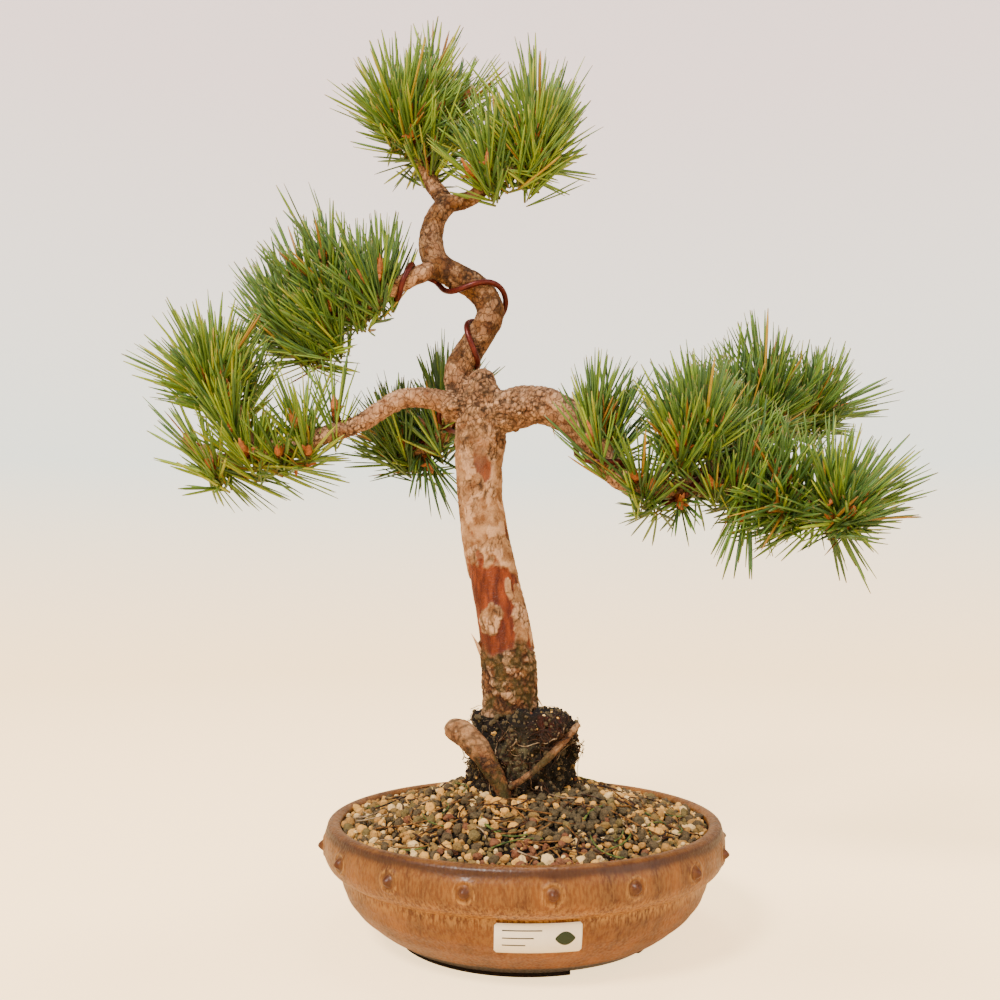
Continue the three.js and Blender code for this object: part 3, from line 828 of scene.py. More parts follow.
# %% Ground under the grains
root_low, root_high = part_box("root_mass")
ROOT_DEPTH = 9 * MM
collar = root_low.z + ROOT_DEPTH
root_middle = np.array([(root_low.x + root_high.x) / 2, (root_low.y + root_high.y) / 2])
root_reach = (root_high.x - root_low.x) / 2
soil_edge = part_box("pot")[1].z - 2.8 * MM
soil_reach = float(np.interp(soil_edge, wall_heights, wall_radii)) - WALL - 0.3 * MM


def ground_height(x, y):
    inward = np.clip(1 - np.hypot(x, y) / soil_reach, 0, 1)
    mound = (collar - soil_edge) * step_between(0, 0.72, inward)
    bumps = 0.7 * MM * np.sin(x / (11 * MM)) * np.cos(y / (13 * MM))
    return soil_edge - 1.0 * MM + mound + bumps * np.minimum(1, 5 * inward)


def ground_and_gap_shade_finish():
    material, tree, shader = new_finish("dark_ground_gap_shade", specular=0.2)
    place = object_place(tree)
    # Dark earth, painted nearly black as the shade that fills the gaps between grains.
    tone = two_tones(tree, place, 500.0, 0.15, srgb(20, 15, 11), srgb(60, 44, 28))
    grainy_surface(tree, shader, tone, place, 900.0, (0.85, 1.0), 0.8 * MM)
    return material


def make_ground():
    rings, segments = 60, 180
    bottom = inner_floor + 0.5 * MM
    profile = [(0.0001, bottom + 5 * MM), (18 * MM, bottom + 5 * MM), (18 * MM, bottom)]
    for z in np.linspace(bottom, soil_edge, 10):
        profile.append((float(np.interp(z, wall_heights, wall_radii)) - WALL - 0.3 * MM, z))
    first_top = len(profile)
    profile += [(soil_reach * (1 - k / rings), soil_edge) for k in range(1, rings)]
    profile.append((0.0001, soil_edge))
    points, faces = turn_profile(np.array(profile), segments, closed=False)
    top = np.arange(len(points)) >= first_top * segments
    rise = ground_height(points[:, 0], points[:, 1]) + 0.8 * MM * layered_noise(points, 5 * MM, 3, 5)
    points[top, 2] = rise[top]
    ends = [tuple(range(segments - 1, -1, -1)), tuple(range(len(points) - segments, len(points)))]
    return make_piece("soil_ground", points, faces + ends, ground_and_gap_shade_finish(), ["soil"])


make_ground()


# %% Pebbles
def pebble_shapes(count, seed):
    ball = bmesh.new()
    bmesh.ops.create_icosphere(ball, subdivisions=2, radius=1.0)
    points = np.array([v.co[:] for v in ball.verts])
    faces = np.array([[v.index for v in f.verts] for f in ball.faces])
    ball.free()
    shapes = []
    for k in range(count):
        lumps = 0.3 * soft_noise(points, 0.9, seed + k) + 0.16 * soft_noise(points, 0.4, seed + k + 50)
        facets = np.round(points * 1.6) / 1.6 * 0.4
        shapes.append(points * (1 + lumps[:, None]) * 0.68 + facets)
    return shapes, faces


def turned_ways(count, dice):
    """Random rotations, one matrix for each grain."""
    q = unit(dice.normal(size=(count, 4)))
    w, x, y, z = q.T
    rows = [
        [1 - 2 * (y * y + z * z), 2 * (x * y - z * w), 2 * (x * z + y * w)],
        [2 * (x * y + z * w), 1 - 2 * (x * x + z * z), 2 * (y * z - x * w)],
        [2 * (x * z - y * w), 2 * (y * z + x * w), 1 - 2 * (x * x + y * y)],
    ]
    return np.array(rows).transpose(2, 0, 1)


def scattered(count, spacing, dice, keep):
    """Points on the bed at least a spacing apart, that pass the keep test."""
    taken = {}
    found = []
    for x, y in dice.uniform(-soil_reach, soil_reach, size=(count, 2)):
        if math.hypot(x, y) > soil_reach - 1.5 * MM or not keep(x, y):
            continue
        cell = (int(x // spacing), int(y // spacing))
        near = [taken.get((cell[0] + i, cell[1] + j)) for i in (-1, 0, 1) for j in (-1, 0, 1)]
        if any(p and math.hypot(p[0] - x, p[1] - y) < spacing for p in near):
            continue
        taken[cell] = (x, y)
        found.append((x, y))
    return np.array(found)


def grain_finish():
    material, tree, shader = new_finish("gravel_grain", specular=0.3)
    place = object_place(tree)
    kind = read_paint(tree, "kind")
    stops = [
        (0.0, srgb(234, 190, 112)),
        (0.17, srgb(194, 152, 84)),
        (0.3, srgb(150, 122, 62)),
        (0.42, srgb(120, 106, 52)),
        (0.52, srgb(246, 218, 166)),
        (0.6, srgb(64, 44, 28)),
        (0.88, srgb(134, 58, 24)),
        (0.94, srgb(24, 17, 12)),
    ]
    base = ramp(tree, kind, stops, step=True)
    dust = two_tones(tree, place, 900.0, 0.1, srgb(88, 72, 50), srgb(222, 200, 158))
    color = mix_colors(tree, 0.1, base, dust)
    color = wear(tree, color, 0.15, 0.14, srgb(226, 206, 166))
    grainy_surface(tree, shader, color, place, 1800.0, (0.8, 1.0), 0.5 * MM)
    return material


gravel = grain_finish()
RED_CLAY = 0.9
DARK_EARTH = 0.97


def make_grains(name, spots, sizes, kinds, dice, replaced="soil"):
    shapes, faces = pebble_shapes(12, 7)
    ways = turned_ways(len(spots), dice)
    which = dice.integers(0, len(shapes), len(spots))
    stretch = dice.uniform(0.75, 1.2, size=(len(spots), 3))
    points = []
    for spot, size, way, shape, wide in zip(spots, sizes, ways, which, stretch):
        points.append((shapes[shape] * wide * size) @ way.T + spot)
    per_grain = len(shapes[0])
    offsets = np.arange(len(spots))[:, None, None] * per_grain
    all_faces = (faces[None] + offsets).reshape(-1, 3).tolist()
    piece = make_piece(name, np.concatenate(points), all_faces, gravel, [replaced])
    piece.data.shade_flat()
    paint_points(piece, "kind", np.repeat(kinds, per_grain))
    return piece


def outside_roots(x, y):
    return math.hypot(x - root_middle[0], y - root_middle[1]) > root_reach - 5 * MM


def kinds_by_place(x, y, dice):
    """Mostly tan grains, red ones in front, and dark earth crumbs by the roots on the right."""
    kinds = dice.uniform(0, 0.9, len(x))
    front = bell(x - 4 * MM, 32 * MM) * bell(y + 80 * MM, 15 * MM)
    spill = bell(x - 26 * MM, 26 * MM) * bell(y + 30 * MM, 30 * MM)
    kinds = np.where(dice.uniform(0, 1, len(x)) < 0.4 * front, RED_CLAY, kinds)
    return np.where(dice.uniform(0, 1, len(x)) < 0.8 * spill, DARK_EARTH, kinds)


dice = np.random.default_rng(11)
for layer, (spacing, lift) in enumerate(((2.6 * MM, 0.2 * MM), (3.7 * MM, 1.8 * MM))):
    flat_spots = scattered(16000, spacing, dice, outside_roots)
    sizes = (0.85 + 1.65 * dice.uniform(0, 1, len(flat_spots)) ** 2) * MM
    heights = ground_height(flat_spots[:, 0], flat_spots[:, 1]) + lift
    spots = np.column_stack([flat_spots, heights])
    kinds = kinds_by_place(spots[:, 0], spots[:, 1], dice)
    half = len(spots) // 2
    for part, chosen in enumerate((slice(0, half), slice(half, None))):
        name = f"soil_grains_{2 * layer + part + 1}"
        make_grains(name, spots[chosen], sizes[chosen], kinds[chosen], dice)

# %% [markdown]
# ## Root mass
# Old black earth still clings round the trunk's foot, full of fine roots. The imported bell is
# remeshed with small faces, pushed in and out by layered noise, and threads of root are laid
# over it by dropping each point of a wandering line onto the surface.

# %% Remesh helper
def copy_packed(name, new_name):
    piece = nodes[name].copy()
    piece.data = nodes[name].data.copy()
    piece.name = new_name
    piece.parent = None
    for key in list(piece.keys()):
        del piece[key]
    bpy.context.scene.collection.objects.link(piece)
    return piece


def apply_all(piece):
    graph = bpy.context.evaluated_depsgraph_get()
    done = bpy.data.meshes.new_from_object(piece.evaluated_get(graph))
    old = piece.data
    piece.modifiers.clear()
    piece.data = done
    bpy.data.meshes.remove(old)


def welded(piece):
    work = bmesh.new()
    work.from_mesh(piece.data)
    bmesh.ops.remove_doubles(work, verts=work.verts, dist=0.02 * MM)
    bmesh.ops.recalc_face_normals(work, faces=work.faces)
    work.to_mesh(piece.data)
    work.free()


def rounded_copy(name, new_name, levels, swell):
    piece = copy_packed(name, new_name)
    welded(piece)
    piece.modifiers.new("round", "SUBSURF").levels = levels
    push = piece.modifiers.new("swell", "DISPLACE")
    push.mid_level = 0
    push.strength = swell
    apply_all(piece)
    return piece


def remeshed(piece, cell, smoothing):
    mesher = piece.modifiers.new("remesh", "REMESH")
    mesher.mode = "VOXEL"
    mesher.voxel_size = cell
    soften = piece.modifiers.new("soften", "SMOOTH")
    soften.factor = 0.5
    soften.iterations = smoothing
    apply_all(piece)
    return piece


# %% Earth
def earth_finish():
    material, tree, shader = new_finish("root_earth", specular=0.3)
    place = object_place(tree)
    base = two_tones(tree, place, 260.0, 0.14, srgb(12, 9, 6), srgb(54, 36, 23))
    color = stain(tree, base, place, 70.0, 0.05, 0.3, srgb(72, 68, 34))
    color = stain(tree, color, place, 330.0, 0.12, read_paint(tree, "lichen"), srgb(150, 142, 112))
    color = stain(tree, color, place, 300.0, 0.1, read_paint(tree, "red"), srgb(112, 48, 28))
    specks = add_node(tree, "ShaderNodeTexVoronoi", Vector=place, Scale=650.0)
    speck_share = fit_range(tree, specks.outputs["Distance"], 0.1, 0.16, 0.55, 0.0)
    color = mix_colors(tree, speck_share, color, srgb(206, 184, 156))
    grainy_surface(tree, shader, color, place, 1000.0, (0.8, 1.0), 0.9 * MM)
    return material


earth = earth_finish()
clod = rounded_copy("root_mass", "root_earth_clod", 1, 0.2 * MM)
remeshed(clod, 0.9 * MM, 4)
clod_points = points_of(clod)
high_up = step_between(collar + 20 * MM, root_high.z, clod_points[:, 2])
clod_push = 7 * layered_noise(clod_points, 15 * MM, 3, 21) + 3.4 * layered_noise(clod_points, 5 * MM, 3, 24)
clod_push += 1.2 * soft_noise(clod_points, 1.6 * MM, 27) - 1.4 - 2.0 * high_up


def near_spot(points, across, back, up, size):
    """How near each point is to a spot given in shares of the root mass's reach and height."""
    middle_x, middle_y = root_middle[:2]
    spot = (middle_x + across * root_reach, middle_y + back * root_reach, collar + up * root_tall)
    return bell(np.linalg.norm(points - np.array(spot), axis=1), size)


root_tall = root_high.z - collar
clod_push -= 5 * near_spot(clod_points, -0.9, -0.4, 0.3, 15 * MM)
clod_push += 4 * near_spot(clod_points, 0.8, -0.5, 0.9, 11 * MM)
clod_push += 4 * near_spot(clod_points, -0.45, -0.5, 1.0, 10 * MM)
move_points(clod, clod_points + normals_of(clod) * (clod_push * MM)[:, None])
dress(clod, earth, ["root_mass"])
paint_points(clod, "lichen", 0.8 * near_spot(clod_points, -0.1, -0.9, 0.45, 9 * MM))
paint_points(clod, "red", 0.8 * near_spot(clod_points, 0.45, -0.8, 0.85, 8 * MM))
clod_rays = rays_of(clod)

# %% [markdown]
# Loose crumbs of earth break up the clod's outline. They are the gravel's own pebble shapes,
# small and nearly all dark, laid on the clod's faces in proportion to their area.

# %% Crumbs
CRUMB_COUNT = 1500
DARK_SHARE = 0.86


def scattered_on(piece, count, dice):
    mesh = piece.data
    centres = np.array([p.center[:] for p in mesh.polygons])
    area = np.array([p.area for p in mesh.polygons])
    return centres[dice.choice(len(area), count, p=area / area.sum())]


crumb_dice = np.random.default_rng(51)
crumb_spots = scattered_on(clod, CRUMB_COUNT, crumb_dice)
crumb_sizes = (0.45 + 0.95 * crumb_dice.uniform(0, 1, CRUMB_COUNT) ** 2) * MM
is_dark = crumb_dice.uniform(0, 1, CRUMB_COUNT) < DARK_SHARE
crumb_kinds = np.where(is_dark, DARK_EARTH, crumb_dice.uniform(0, DARK_EARTH, CRUMB_COUNT))
make_grains("root_crumbs", crumb_spots, crumb_sizes, crumb_kinds, crumb_dice, "root_mass")


# %% Fine roots
def thread_finish(name, dark, light):
    material, tree, shader = new_finish(name, specular=0.3)
    place = object_place(tree)
    tone = two_tones(tree, place, 350.0, 0.1, dark, light)
    grainy_surface(tree, shader, tone, place, 1500.0, (0.6, 0.9), 0.15 * MM)
    return material


dark_thread = thread_finish("dark_root", srgb(44, 30, 22), srgb(112, 82, 58))
pale_thread = thread_finish("pale_root", srgb(132, 108, 84), srgb(200, 180, 152))


def root_lines(count, steps, stride, stand_off, spread, dice):
    lines = np.zeros((count, steps, 3))
    for k in range(count):
        angle = TURN * (-0.25 + spread * dice.uniform(-0.5, 0.5))
        height = dice.uniform(root_low.z + 10 * MM, root_high.z - 2 * MM)
        side = Vector((math.cos(angle), math.sin(angle), 0))
        start = Vector((root_middle[0], root_middle[1], height)) + side * 0.06
        spot = clod_rays.find_nearest(start)[0]
        heading = Vector(dice.normal(size=3)) + Vector((0, 0, -0.8))
        for i in range(steps):
            spot, normal = clod_rays.find_nearest(spot + heading.normalized() * stride)[:2]
            lines[k, i] = spot + normal * dice.uniform(0.0, stand_off)
            heading = heading.normalized() + Vector(dice.normal(size=3)) * 0.45
    for _ in range(2):
        lines[:, 1:-1] = (lines[:, :-2] + 2 * lines[:, 1:-1] + lines[:, 2:]) / 4
    return lines


def make_threads(name, count, steps, stride, radius, stand_off, spread, material, seed):
    dice = np.random.default_rng(seed)
    lines = root_lines(count, steps, stride, stand_off, spread, dice)
    taper = np.linspace(1, 0.35, steps)[None] * dice.uniform(0.6, 1.3, (count, 1)) * radius
    points, faces = tube_batch(lines, taper, sides=5)
    return make_piece(name, points, faces, material, ["root_mass"])


make_threads("fine_dark_roots", 300, 16, 1.8 * MM, 0.3 * MM, 1.4 * MM, 1.0, dark_thread, 31)
make_threads("fine_pale_roots", 34, 15, 1.6 * MM, 0.36 * MM, 1.8 * MM, 0.45, pale_thread, 32)
make_threads("loose_root_ends", 150, 9, 1.7 * MM, 0.26 * MM, 5 * MM, 1.0, dark_thread, 33)


# %% Litter on the soil
def make_litter(name, count, length, radius, material, seed):
    dice = np.random.default_rng(seed)
    steps = 8
    lines = np.zeros((count, steps, 3))
    for k in range(count):
        reach = soil_reach * math.sqrt(dice.uniform(0.12, 0.82))
        angle = dice.uniform(0, TURN)
        middle_x, middle_y = reach * math.cos(angle), reach * math.sin(angle)
        turn = dice.uniform(0, TURN)
        own = length * dice.uniform(0.5, 1.2)
        along = np.linspace(-0.5, 0.5, steps) * own
        bend = dice.uniform(-0.25, 0.25) * own * (1 - (2 * along / own) ** 2)
        x = middle_x + along * math.cos(turn) - bend * math.sin(turn)
        y = middle_y + along * math.sin(turn) + bend * math.cos(turn)
        inside = np.minimum(1, (soil_reach - 2 * MM) / np.maximum(np.hypot(x, y), 1e-6))
        x, y = x * inside, y * inside
        lines[k] = np.column_stack([x, y, ground_height(x, y) + dice.uniform(2.2, 3.6) * MM])
    taper = np.full((count, steps), radius) * dice.uniform(0.7, 1.2, (count, 1))
    points, faces = tube_batch(lines, taper, sides=5)
    return make_piece(name, points, faces, material, ["soil"])


dry_needle = thread_finish("dry_needle", srgb(104, 72, 40), srgb(176, 138, 86))
green_litter = thread_finish("fallen_green_needle", srgb(88, 108, 62), srgb(140, 152, 92))
make_litter("fallen_needles", 70, 24 * MM, 0.36 * MM, dry_needle, 41)
make_litter("fallen_green_needles", 30, 22 * MM, 0.42 * MM, green_litter, 44)
make_litter("root_bits", 80, 16 * MM, 0.42 * MM, dark_thread, 42)
make_litter("pale_bits", 30, 14 * MM, 0.34 * MM, pale_thread, 43)

# %% [markdown]
# ## Wood
# Trunk and branches grew as one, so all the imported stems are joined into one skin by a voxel
# remesh, which closes the fine gaps between them. The bark is then pushed in and out: plates and
# cracks on the old trunk, lumps round the healed knob, and a smooth sunken zone where the bark
# has peeled. The same masks are stored on the points, so colour and shape agree.

# %% One skin for the stems
STEMS = [
    "trunk",
    "leader",
    "right_branch",
    "left_branch",
    "back_branch",
    "upper_left_branch",
    "crown_left_limb",
    "crown_right_limb",
    "left_spur",
    "right_side_stem",
    "right_upper_stem",
]
trunk_low, trunk_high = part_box("trunk")
stem_points = np.concatenate([points_of(nodes[name]) for name in STEMS])


def join_copies(names, new_name, swell):
    first = rounded_copy(names[0], new_name, 2, swell)
    work = bmesh.new()
    work.from_mesh(first.data)
    for name in names[1:]:
        other = rounded_copy(name, "spare_stem", 2, swell)
        work.from_mesh(other.data)
        bpy.data.objects.remove(other)
    work.to_mesh(first.data)
    work.free()
    return first


wood = join_copies(STEMS, "living_wood", 0.5 * MM)
remeshed(wood, 0.75 * MM, 9)
skin = points_of(wood)
out = normals_of(wood)
print("wood skin:", len(skin), "points")

# %% [markdown]
# The trunk's zones follow its height: scaly grey bark at the foot, a peeled glossy stretch above
# it with a ragged edge, and pale, finely cracked bark up to the knob. `trunkness` keeps them off
# the branches.

# %% Bark zones
trunk_tall = trunk_high.z - trunk_low.z
trunk_middle_x = -10 * MM
share_up = (skin[:, 2] - trunk_low.z) / trunk_tall
axis_x = np.interp(share_up, [0, 0.33, 0.7, 1], [-0.008, -0.009, -0.022, -0.023])
from_trunk_axis = np.hypot(skin[:, 0] - axis_x, skin[:, 1] - 5 * MM)
trunkness = 1 - step_between(17 * MM, 22 * MM, from_trunk_axis)
trunkness *= 1 - step_between(0.84, 0.9, share_up)
knob_middle = np.array([-0.018, 0.002, trunk_high.z - 22 * MM])
knob = bell(np.linalg.norm(skin - knob_middle, axis=1), 26 * MM)
ragged = 0.035 * layered_noise(skin, 8 * MM, 4, 61)
peeled = step_between(0.335, 0.345, share_up + ragged)
peeled = peeled * (1 - step_between(0.515, 0.525, share_up + 1.3 * ragged))
streaks = layered_noise(skin * (1, 1, 0.28), 7 * MM, 3, 62)
island = np.array([trunk_middle_x - 7 * MM, -8 * MM, trunk_low.z + 0.4 * trunk_tall])
edge_patch = np.array([trunk_middle_x + 10 * MM, -4 * MM, trunk_low.z + 0.4 * trunk_tall])
left_on = np.zeros(len(skin))
for spot, wide, tall in ((island, 6.5 * MM, 9 * MM), (edge_patch, 6 * MM, 15 * MM)):
    away = np.linalg.norm((skin - spot) / (wide, 12 * MM, tall), axis=1)
    rough_edge = 16 * ragged + 0.5 * layered_noise(skin * (1, 1, 0.5), 3.5 * MM, 3, 64)
    left_on = np.maximum(left_on, 1 - step_between(0.9, 0.98, away + rough_edge))
left_on = np.maximum(left_on, step_between(0.36, 0.42, streaks))
peeled = peeled * (1 - left_on) * trunkness
upper_scars = step_between(0.31, 0.36, layered_noise(skin * (1, 1, 0.4), 9 * MM, 4, 63))
upper_scars *= trunkness * step_between(0.5, 0.56, share_up) * (1 - step_between(0.76, 0.84, share_up))
peeled = np.clip(peeled + 0.85 * upper_scars, 0, 1)
scaly = trunkness * (1 - step_between(0.33, 0.37, share_up + ragged))
leader_low, leader_high = (np.array(corner[:]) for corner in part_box("leader"))
in_leader = np.all((skin > leader_low - 2 * MM) & (skin < leader_high + 2 * MM), axis=1)
over_trunk = step_between(trunk_high.z, trunk_high.z + 8 * MM, skin[:, 2])
leaderness = np.where(in_leader, 1 - trunkness, 0) * over_trunk
print("peeled points:", int((peeled > 0.5).sum()))

# %% Push the bark in and out
drift = np.stack([layered_noise(skin, 8 * MM, 3, seed) for seed in (111, 121, 131)], axis=1)
warped = skin + 3.2 * MM * drift
plates, scale_gaps = plate_noise(warped * (0.8, 0.8, 1.35), 5 * MM, 71)
long_gaps = plate_noise(warped * (1, 1, 0.3), 3.6 * MM, 81)[1]
flake_gaps = plate_noise(warped, 3.4 * MM, 86)[1]
branchness = 1 - trunkness
here_and_there = step_between(-0.15, 0.35, layered_noise(skin, 9 * MM, 3, 141))
crack = (1 - step_between(0.02, 0.2, scale_gaps)) * scaly
crack += (1 - step_between(0.01, 0.12, long_gaps)) * here_and_there * trunkness * (1 - scaly)
crack += (1 - step_between(0.02, 0.2, flake_gaps)) * here_and_there * branchness
crack += (1 - step_between(0.02, 0.24, flake_gaps)) * knob
crack = np.clip(crack, 0, 1) * (1 - peeled)
flakes = step_between(0.1, 0.16, layered_noise(warped, 6 * MM, 4, 151))
flakes = flakes * (1 - peeled) * (1 - 0.5 * leaderness)
height = 0.55 * layered_noise(skin, 13 * MM, 3, 91)
height += 3.4 * knob * layered_noise(skin, 7 * MM, 3, 92) + 1.5 * knob
height += 0.28 * branchness * layered_noise(skin, 4 * MM, 3, 93)
height -= 0.5 * crack
height += 0.3 * flakes * (0.4 + 0.6 * branchness + scaly)
height += 0.55 * scaly * (0.5 - plates)
height -= 0.85 * peeled
height += 0.3 * peeled * layered_noise(skin * (1, 1, 0.2), 5 * MM, 3, 94)
height += 0.14 * soft_noise(skin, 0.9 * MM, 95) * (1 - 0.8 * peeled)
move_points(wood, skin + out * (height * MM)[:, None])
print("bark relief from", round(height.min(), 2), "to", round(height.max(), 2), "mm")


# %% Bark finish
def plates_group():
    """Small bark plates: a tone for each plate, and the dark gaps between them."""
    sockets = [("Place", "NodeSocketVector", None), ("Scale", "NodeSocketFloat", 300.0)]
    outputs = [("Tone", "NodeSocketFloat"), ("Gap", "NodeSocketFloat")]
    group, inside, outside = new_group("Small Plates", sockets, outputs)
    stir = add_node(group, "ShaderNodeTexNoise", Vector=inside.outputs["Place"], Scale=240.0, Detail=4.0)
    moved = group.nodes.new("ShaderNodeVectorMath")
    moved.operation = "MULTIPLY_ADD"
    group.links.new(stir.outputs["Color"], moved.inputs[0])
    moved.inputs[1].default_value = (5 * MM, 5 * MM, 5 * MM)
    group.links.new(inside.outputs["Place"], moved.inputs[2])
    cells = add_node(group, "ShaderNodeTexVoronoi", Vector=moved.outputs[0])
    edges = add_node(group, "ShaderNodeTexVoronoi", Vector=moved.outputs[0])
    edges.feature = "DISTANCE_TO_EDGE"
    for node in (cells, edges):
        group.links.new(inside.outputs["Scale"], node.inputs["Scale"])
    tone = add_node(group, "ShaderNodeSeparateColor", Color=cells.outputs["Color"]).outputs["Red"]
    gap = fit_range(group, edges.outputs["Distance"], 0.0, 0.09, 1.0, 0.0)
    group.links.new(tone, outside.inputs["Tone"])
    group.links.new(gap, outside.inputs["Gap"])
    return group


small_plates = plates_group()


def bark_finish():
    material, tree, shader = new_finish("pine_bark", specular=0.25)
    place = object_place(tree)
    long_way = object_place(tree, (1, 1, 0.35))
    pale = two_tones(tree, place, 170.0, 0.16, srgb(152, 114, 78), srgb(208, 174, 138))
    branch = two_tones(tree, place, 230.0, 0.18, srgb(146, 104, 70), srgb(228, 192, 158))
    olive = two_tones(tree, place, 150.0, 0.14, srgb(80, 60, 34), srgb(164, 128, 84))
    branch_color = mix_colors(tree, read_paint(tree, "leader"), branch, olive)
    color = mix_colors(tree, read_paint(tree, "branch"), pale, branch_color)
    scale_tone = two_tones(tree, place, 210.0, 0.12, srgb(84, 58, 34), srgb(168, 128, 88))
    color = mix_colors(tree, read_paint(tree, "scaly"), color, scale_tone)
    color = mix_colors(tree, read_paint(tree, "flake"), color, srgb(222, 188, 156))
    bark_plates = use_group(tree, small_plates, Place=object_place(tree, (1, 1, 0.7)), Scale=330.0)
    plate_share = calculate(tree, "MULTIPLY", bark_plates.outputs["Tone"], read_paint(tree, "rough"))
    color = mix_colors(tree, calculate(tree, "MULTIPLY", plate_share, 0.5), color, srgb(126, 80, 46))
    gap_share = calculate(tree, "MULTIPLY", bark_plates.outputs["Gap"], read_paint(tree, "rough"))
    color = mix_colors(tree, calculate(tree, "MULTIPLY", gap_share, 0.75), color, srgb(78, 50, 30))
    fresh = two_tones(tree, long_way, 190.0, 0.2, srgb(118, 58, 22), srgb(182, 108, 54))
    fresh_color = stain(tree, fresh, object_place(tree, (1, 1, 0.2)), 260.0, 0.08, 0.75, srgb(98, 38, 16))
    color = mix_colors(tree, read_paint(tree, "peeled"), color, fresh_color)
    color = mix_colors(tree, read_paint(tree, "crack"), color, srgb(58, 42, 30))
    color = stain(tree, color, place, 130.0, 0.06, read_paint(tree, "moss"), srgb(104, 98, 58))
    color = wear(tree, color, 0.12, 0.25, srgb(220, 196, 172))
    grain = use_group(tree, fine_grain, Place=place, Scale=1300.0)
    dull = fit_range(tree, grain.outputs["Height"], 0.0, 0.5, 0.75, 0.95)
    gloss = calculate(tree, "MULTIPLY", read_paint(tree, "peeled"), 0.4)
    sunk = calculate(tree, "MULTIPLY", gap_share, 0.7)
    relief = calculate(tree, "SUBTRACT", grain.outputs["Height"], sunk)
    set_surface(tree, shader, color, calculate(tree, "SUBTRACT", dull, gloss), relief, 0.6 * MM)
    return material


bark = bark_finish()


def paint_bark(piece, **masks):
    for name in ("branch", "leader", "scaly", "peeled", "crack", "moss", "flake", "rough"):
        paint_points(piece, name, masks.get(name, np.zeros(len(piece.data.vertices))))


dress(wood, bark, STEMS)
paint_bark(
    wood,
    branch=np.clip(branchness - 0.8 * knob, 0, 1),
    leader=leaderness,
    rough=np.clip(0.9 * branchness + 0.8 * scaly + knob + 0.35 * here_and_there, 0, 1) * (1 - peeled),
    scaly=scaly,
    peeled=peeled,
    crack=0.8 * crack,
    flake=0.7 * flakes,
    moss=np.clip(0.6 * scaly + 0.12 * knob, 0, 1),
)

# %% [markdown]
# Where the bark peeled, a few stiff flakes still stand away from the wood. Each is a short flat
# blade that starts inside the bark, at a height and a side of the trunk or the right branch.

# %% Standing flakes
def bark_blade(name, start, way, length, width):
    s = np.linspace(0, 1, 7)[:, None]
    lean = np.cross(unit(way), [0, 1, 0])
    line = np.array(start) + unit(way) * s * length + lean * 0.12 * length * s**2
    widths = np.array([0.9, 1.0, 0.9, 0.72, 0.5, 0.28, 0.06])[None] * width
    points, faces = tube_batch(line[None], widths, sides=8, flat=0.3)
    blade = make_piece(name, points, faces, bark, ["trunk"])
    paint_bark(blade, flake=np.full(len(points), 0.6))
    return blade


def bark_edge(height, side):
    """The outermost wood at a height, on the left (-1) or the right (1)."""
    level = skin[np.abs(skin[:, 2] - height) < 1 * MM]
    level = level[np.abs(level[:, 0] - trunk_middle_x) < 30 * MM]
    return level[np.argmax(side * level[:, 0])]


peel_bottom = trunk_low.z + 0.335 * trunk_tall
left_start = bark_edge(peel_bottom - 3 * MM, -1) + (1 * MM, -1 * MM, 0)
bark_blade("bark_flake_left", left_start, (-0.35, -0.15, 1), 13 * MM, 2.6 * MM)
right_start = bark_edge(peel_bottom - 22 * MM, 1) + (-1 * MM, -1 * MM, 0)
bark_blade("bark_flake_right", right_start, (0.45, -0.2, -1), 9 * MM, 1.6 * MM)
branch_foot = skin[(skin[:, 0] > trunk_middle_x + 14 * MM) & (skin[:, 0] < trunk_middle_x + 26 * MM)]
branch_foot = branch_foot[(branch_foot[:, 2] > trunk_high.z - 60 * MM) & (branch_foot[:, 1] < 4 * MM)]
hang = branch_foot[np.argmin(branch_foot[:, 2])]
bark_blade("bark_shred_long", hang + (0, 0, 1 * MM), (0.1, -0.1, -1), 8 * MM, 0.9 * MM)
bark_blade("bark_shred_short", hang + (5 * MM, -1 * MM, 2 * MM), (-0.6, -0.2, -1), 6 * MM, 0.9 * MM)

# %% [markdown]
# The two thick roots that show on the root mass are barked in the same way. They keep their own
# names, because they are the roots a grower would point to.

# %% Old roots
for name, new_name, cell in (("cut_root", "old_cut_root", 0.5), ("surface_root", "thin_surface_root", 0.35)):
    root = rounded_copy(name, new_name, 2, 0.1 * MM)
    remeshed(root, cell * MM, 3)
    root_skin = points_of(root)
    folds = 0.5 * layered_noise(root_skin, 6 * MM, 4, 101) + 0.15 * soft_noise(root_skin, 1.2 * MM, 105)
    move_points(root, root_skin + normals_of(root) * (folds * MM)[:, None])
    dress(root, bark, [name])
    grooves = 1 - step_between(0.0, 0.25, np.abs(layered_noise(root_skin, 5 * MM, 3, 102)))
    uneven = root_skin[:, 2] + 12 * layered_noise(root_skin, 9 * MM, 3, 107) * MM
    buried = 1 - step_between(collar + 10 * MM, collar + 31 * MM, uneven)
    patchy = step_between(-0.2, 0.4, layered_noise(root_skin, 6 * MM, 3, 106))
    bared = 0.6 * bell(root_skin[:, 2] - collar - 24 * MM, 5 * MM) * patchy
    paint_bark(
        root,
        crack=np.clip(0.6 * grooves + 0.5 * buried * patchy, 0, 1),
        scaly=buried,
        moss=0.7 * buried,
        peeled=bared,
        rough=0.4 + 0.6 * buried,
    )

# %% [markdown]
# ## Training wire
# Soft anodised wire is wound along the leader and two branches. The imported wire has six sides;
# two rounds of subdivision make it round, and a slight swell restores its thickness.

# %% Round wires
for name in ("leader_wire", "right_branch_wire", "back_branch_wire"):
    strand = rounded_copy(name, f"{name}_round", 2, 0.16 * MM)
    dress(strand, metal, [name])

